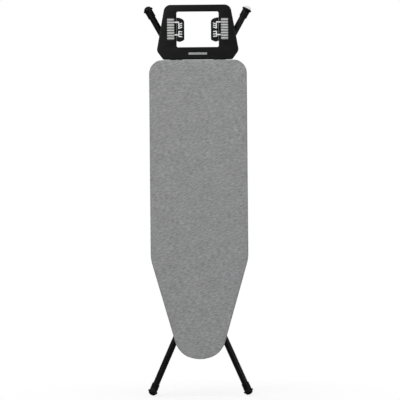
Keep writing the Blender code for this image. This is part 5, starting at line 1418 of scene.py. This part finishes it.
# ==== Tube plugs, feet and levelling glide ================================================================
# Black moulded feet are pushed on the tubes: a ribbed sleeve, a flange and a domed end.  The upper right foot
# ends in a pale dome on a thread, which screws out to level the board.
SLEEVE_RADIUS = TUBE_RADIUS + 0.0027
FLANGE_RADIUS = SLEEVE_RADIUS + 0.0038
DOME_RADIUS = SLEEVE_RADIUS + 0.0003
GLIDE_STEM = 0.004
GLIDE_STEM_LENGTH = 0.026
GLIDE_THREADS = 19
THREAD_PITCH = 0.00125
FOOT_PLASTIC = plastic_finish("black_foot_moulding", (0.0020, 0.0021, 0.0021), (0.0042, 0.0044, 0.0044), 0.38)
for frame_name, (body, _, _, _) in LEGS.items():
    for side_name, _ in SIDES:
        eased_copy(f"{frame_name}_plug_{side_name}", 0.0004, FOOT_PLASTIC, body, 2, 30)


def dome_rows(steps=10):
    """Domed end of a foot, from its rim down to its tip."""
    angles = [math.pi / 2 * step / steps for step in range(steps + 1)]
    return [(DOME_RADIUS * math.cos(angle), DOME_LENGTH * (1 - math.sin(angle))) for angle in angles]


def sleeve_rows():
    """Sleeve and flange of a foot from its open end down, with three shallow grip rings."""
    top = DOME_LENGTH + FLANGE_LENGTH + SLEEVE_LENGTH
    flange_top = DOME_LENGTH + FLANGE_LENGTH
    rows = [(TUBE_RADIUS + 0.0003, top), (SLEEVE_RADIUS - 0.0010, top), (SLEEVE_RADIUS, top - 0.0012)]
    for number in range(3):
        ring_z = top - 0.006 - number * 0.004
        rows += [(SLEEVE_RADIUS, ring_z + 0.0008), (SLEEVE_RADIUS - 0.0006, ring_z + 0.0003)]
        rows += [(SLEEVE_RADIUS - 0.0006, ring_z - 0.0003), (SLEEVE_RADIUS, ring_z - 0.0008)]
    rows += [(SLEEVE_RADIUS, flange_top + 0.0018), (SLEEVE_RADIUS + 0.0008, flange_top + 0.0004)]
    rows += [(FLANGE_RADIUS - 0.0014, flange_top), (FLANGE_RADIUS - 0.0004, flange_top - 0.0004)]
    rows += [(FLANGE_RADIUS, flange_top - 0.0014), (FLANGE_RADIUS, DOME_LENGTH + 0.0014)]
    return rows + [(FLANGE_RADIUS - 0.0004, DOME_LENGTH + 0.0004), (FLANGE_RADIUS - 0.0014, DOME_LENGTH)]


seat = DOME_LENGTH + FLANGE_LENGTH / 2
for frame_name, foot_name in (("outer", "upper_foot"), ("inner", "lower_foot")):
    body, splay, tip_z, upwards = LEGS[frame_name]
    for side_name, side in SIDES:
        tip, into_leg = foot_axis(side, splay, tip_z, upwards)
        node = f"{foot_name}_{side_name}"
        if node == "upper_foot_right":
            hole = GLIDE_STEM + 0.0003
            rows = [(hole, DOME_LENGTH), (hole, seat), (TUBE_RADIUS + 0.0003, seat)]
            rows += sleeve_rows() + [(hole, DOME_LENGTH)]
        else:
            rows = [(0.0, seat), (TUBE_RADIUS + 0.0003, seat)] + sleeve_rows() + dome_rows()
        mesh = turned_mesh(node + "_moulding", rows, 48, into_leg, tip, 36)
        if node == "upper_foot_right":
            shape = bmesh.new()
            shape.from_mesh(mesh)
            caps = [face for face in shape.faces if len(face.verts) > 4]
            bmesh.ops.delete(shape, geom=caps, context="FACES")
            bmesh.ops.remove_doubles(shape, verts=shape.verts, dist=0.000005)
            bmesh.ops.recalc_face_normals(shape, faces=shape.faces)
            shape.to_mesh(mesh)
            shape.free()
            smoothed(mesh, 36)
        new_piece(node + "_moulding", mesh, FOOT_PLASTIC, body, [node])
        if node == "upper_foot_right":
            top = DOME_LENGTH - 0.0003
            stem_top = top + GLIDE_STEM_LENGTH
            rows = [(0.0, stem_top), (GLIDE_STEM - 0.0006, stem_top), (GLIDE_STEM, stem_top - 0.0008)]
            for number in range(GLIDE_THREADS):
                height = stem_top - 0.0015 - number * THREAD_PITCH
                rows += [(GLIDE_STEM, height), (GLIDE_STEM - 0.0005, height - 0.0006)]
            rows += [(GLIDE_STEM, top)]
            rows += [(radius, min(height, top)) for radius, height in dome_rows()]
            glide = turned_mesh("glide_dome", rows, 48, into_leg, tip, 36)
            new_piece("glide_dome", glide, STRAP_SILICONE, "glide", ["levelling_glide"])

# ==== Bolts, nuts and spacers =============================================================================
# Button-head bolts with hexagon sockets join the frames to the brackets and to each other, each with a
# chamfered hexagon nut.  A plastic spacer keeps the crossing tubes apart.
BOLT_RADIUS = 0.004
BOLT_HEAD = 0.0065
BOLT_HEAD_HEIGHT = 0.0045
NUT_ROUND = 0.0072


def bolt_mesh(length):
    """Button-head bolt along Z: head above zero, shank below with thread at its end."""
    profile = [(0.0, BOLT_HEAD_HEIGHT)]
    for step in range(8):
        angle = math.radians(12 + 78 * step / 7)
        profile.append((BOLT_HEAD * math.sin(angle), BOLT_HEAD_HEIGHT * math.cos(angle)))
    profile += [(BOLT_RADIUS, 0.0), (BOLT_RADIUS, -length * 0.6)]
    turns = int(length * 0.36 / THREAD_PITCH)
    for number in range(turns):
        height = -length * 0.62 - number * THREAD_PITCH
        profile += [(BOLT_RADIUS, height), (BOLT_RADIUS - 0.0006, height - 0.0006)]
    profile += [(BOLT_RADIUS - 0.0006, -length + 0.0004), (0.0, -length)]
    solid = turned_mesh("bolt", profile, 36)
    socket_profile = [(0.0, BOLT_HEAD_HEIGHT + 0.001), (0.0026, BOLT_HEAD_HEIGHT + 0.001), (0.0026, 0.0018)]
    socket = turned_mesh("socket", socket_profile + [(0.0, 0.0012)], 6)
    return smoothed(joined(solid, [("DIFFERENCE", socket)]), 32)


def nut_mesh(height):
    """Hexagon nut along Z with chamfered corners and a threaded bore."""
    half = height / 2
    hexagon = turned_mesh("hexagon", [(0.0, half), (NUT_ROUND, half), (NUT_ROUND, -half), (0.0, -half)], 6)
    cone = [(0.0, half), (NUT_ROUND * 0.88, half), (NUT_ROUND * 1.02, half - 0.0009)]
    cone += [(NUT_ROUND * 1.02, -half + 0.0009), (NUT_ROUND * 0.88, -half), (0.0, -half)]
    mouth, bore_radius = BOLT_RADIUS + 0.0008, BOLT_RADIUS + 0.0003
    bore = [(0.0, half + 0.001), (mouth, half + 0.001), (bore_radius, half - 0.0006)]
    bore += [(bore_radius, -half + 0.0006), (mouth, -half - 0.001), (0.0, -half - 0.001)]
    steps = [("INTERSECT", turned_mesh("cone", cone, 48)), ("DIFFERENCE", turned_mesh("bore", bore, 32))]
    return smoothed(joined(hexagon, steps), 28)


for kind, body, material, slot in (
    ("pivot", "board", BLACK_COAT, "black_steel"),
    ("cross", "inner_legs", ZINC, "zinc_steel"),
):
    bolt_nodes = [f"{kind}_bolt_{side_name}" for side_name, _ in SIDES]
    nut_nodes = [f"{kind}_nut_{side_name}" for side_name, _ in SIDES]
    bolt_low, bolt_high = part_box(bolt_nodes[0])
    nut_low, nut_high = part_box(nut_nodes[0])
    z = (bolt_low.z + bolt_high.z) / 2
    head_x = bolt_high.x - BOLT_HEAD_HEIGHT
    nut_x = (nut_low.x + nut_high.x) / 2
    bolts = [((s * head_x, FRAME_Y, z), Euler((0.0, math.radians(90 * s), 0.0))) for _, s in SIDES]
    nuts = [((s * nut_x, FRAME_Y, z), Euler((0.0, math.radians(90), 0.0))) for _, s in SIDES]
    bolts_made = repeated(f"{kind}_bolts", bolt_mesh(head_x - bolt_low.x), bolts, material, 32)
    nuts_made = repeated(f"{kind}_nuts", nut_mesh(nut_high.x - nut_low.x), nuts, ZINC, 28)
    new_piece(f"{kind}_bolts", bolts_made, material, body, bolt_nodes)
    new_piece(f"{kind}_nuts", nuts_made, ZINC, body, nut_nodes)
for side_name, _ in SIDES:
    eased_copy(f"cross_spacer_{side_name}", 0.0004, FOOT_PLASTIC, "inner_legs", 2, 30)

# ==== Slider, carriage and clamp ==========================================================================
# A zinc-plated bar joins the inner legs and runs in the track's slots through a moulded carriage.  In the
# carriage a steel lever rocks on its pin: a close-wound spring presses its shoe on the track.
eased_copy("slider_bar", 0.0005, ZINC, "inner_legs", 3, 40)
eased_copy("slide_carriage", 0.0006, FOOT_PLASTIC, "carriage", 2)
eased_copy("clamp_pin", 0.0003, ZINC, "carriage", 2, 40)
eased_copy("clamp_lever", 0.0004, ZINC, "release", 2)
SPRING_WIRE = 0.00055
SPRING_TURNS = 2.5
SPRING_STEPS = 24             # points to a turn
spring_low, spring_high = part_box("clamp_spring")
pin_place = Vector(next(joint["pos_m"] for joint in frame["joints"] if joint["name"] == "release_press"))
coil_radius = (spring_high.z - spring_low.z) / 2 - SPRING_WIRE
coil_width = spring_high.x - spring_low.x - 2 * SPRING_WIRE
coil = []
for step in range(int(SPRING_TURNS * SPRING_STEPS) + 1):
    angle = 2 * math.pi * step / SPRING_STEPS
    x = spring_low.x + SPRING_WIRE + coil_width * step / (SPRING_TURNS * SPRING_STEPS)
    y = pin_place.y + coil_radius * math.cos(angle)
    z = pin_place.z + coil_radius * math.sin(angle)
    coil.append(Vector((x, y, z)))


def wire_mesh(name, path, radius, sides):
    """Closed round wire along any path, its section carried from point to point without twist."""
    shape = bmesh.new()
    rings = []
    across = Vector((1.0, 0.0, 0.0))
    for number, place in enumerate(path):
        along = (path[min(number + 1, len(path) - 1)] - path[max(number - 1, 0)]).normalized()
        across = (across - along * across.dot(along)).normalized()
        level = along.cross(across)
        ring = []
        for step in range(sides):
            angle = 2 * math.pi * step / sides
            reach = across * math.cos(angle) + level * math.sin(angle)
            ring.append(shape.verts.new(place + reach * radius))
        rings.append(ring)
    return skinned(name, shape, rings, 60)


spring_mesh = wire_mesh("spring_coil", coil, SPRING_WIRE, 10)
new_piece("spring_coil", spring_mesh, ZINC, "carriage", ["clamp_spring"])

# ==== Release paddle ======================================================================================
# Moulded finger paddle on the lever's arm, with rounded edges and raised grip bars on its pressing face.
eased_copy("release_paddle", 0.0006, FOOT_PLASTIC, "release", 3)
paddle_low, paddle_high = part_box("release_paddle")
GRIP_BARS = 5
GRIP_RADIUS = 0.0009
grip_profile = [(0.0, 0.024), (GRIP_RADIUS * 0.7, 0.0236), (GRIP_RADIUS, 0.0228)]
grip_profile += [(GRIP_RADIUS, -0.0228), (GRIP_RADIUS * 0.7, -0.0236), (0.0, -0.024)]
grip_places = []
for number in range(GRIP_BARS):
    z = paddle_low.z + (paddle_high.z - paddle_low.z) * (number + 1) / (GRIP_BARS + 1)
    grip_places.append(((0.0, paddle_high.y - GRIP_RADIUS * 0.35, z), Euler((0.0, math.radians(90), 0.0))))
grip_mesh = repeated("paddle_grips", turned_mesh("grip", grip_profile, 16), grip_places, FOOT_PLASTIC, 50)
new_piece("paddle_grips", grip_mesh, FOOT_PLASTIC, "release")

# ==== Size, and the end ===================================================================================
low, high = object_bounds()
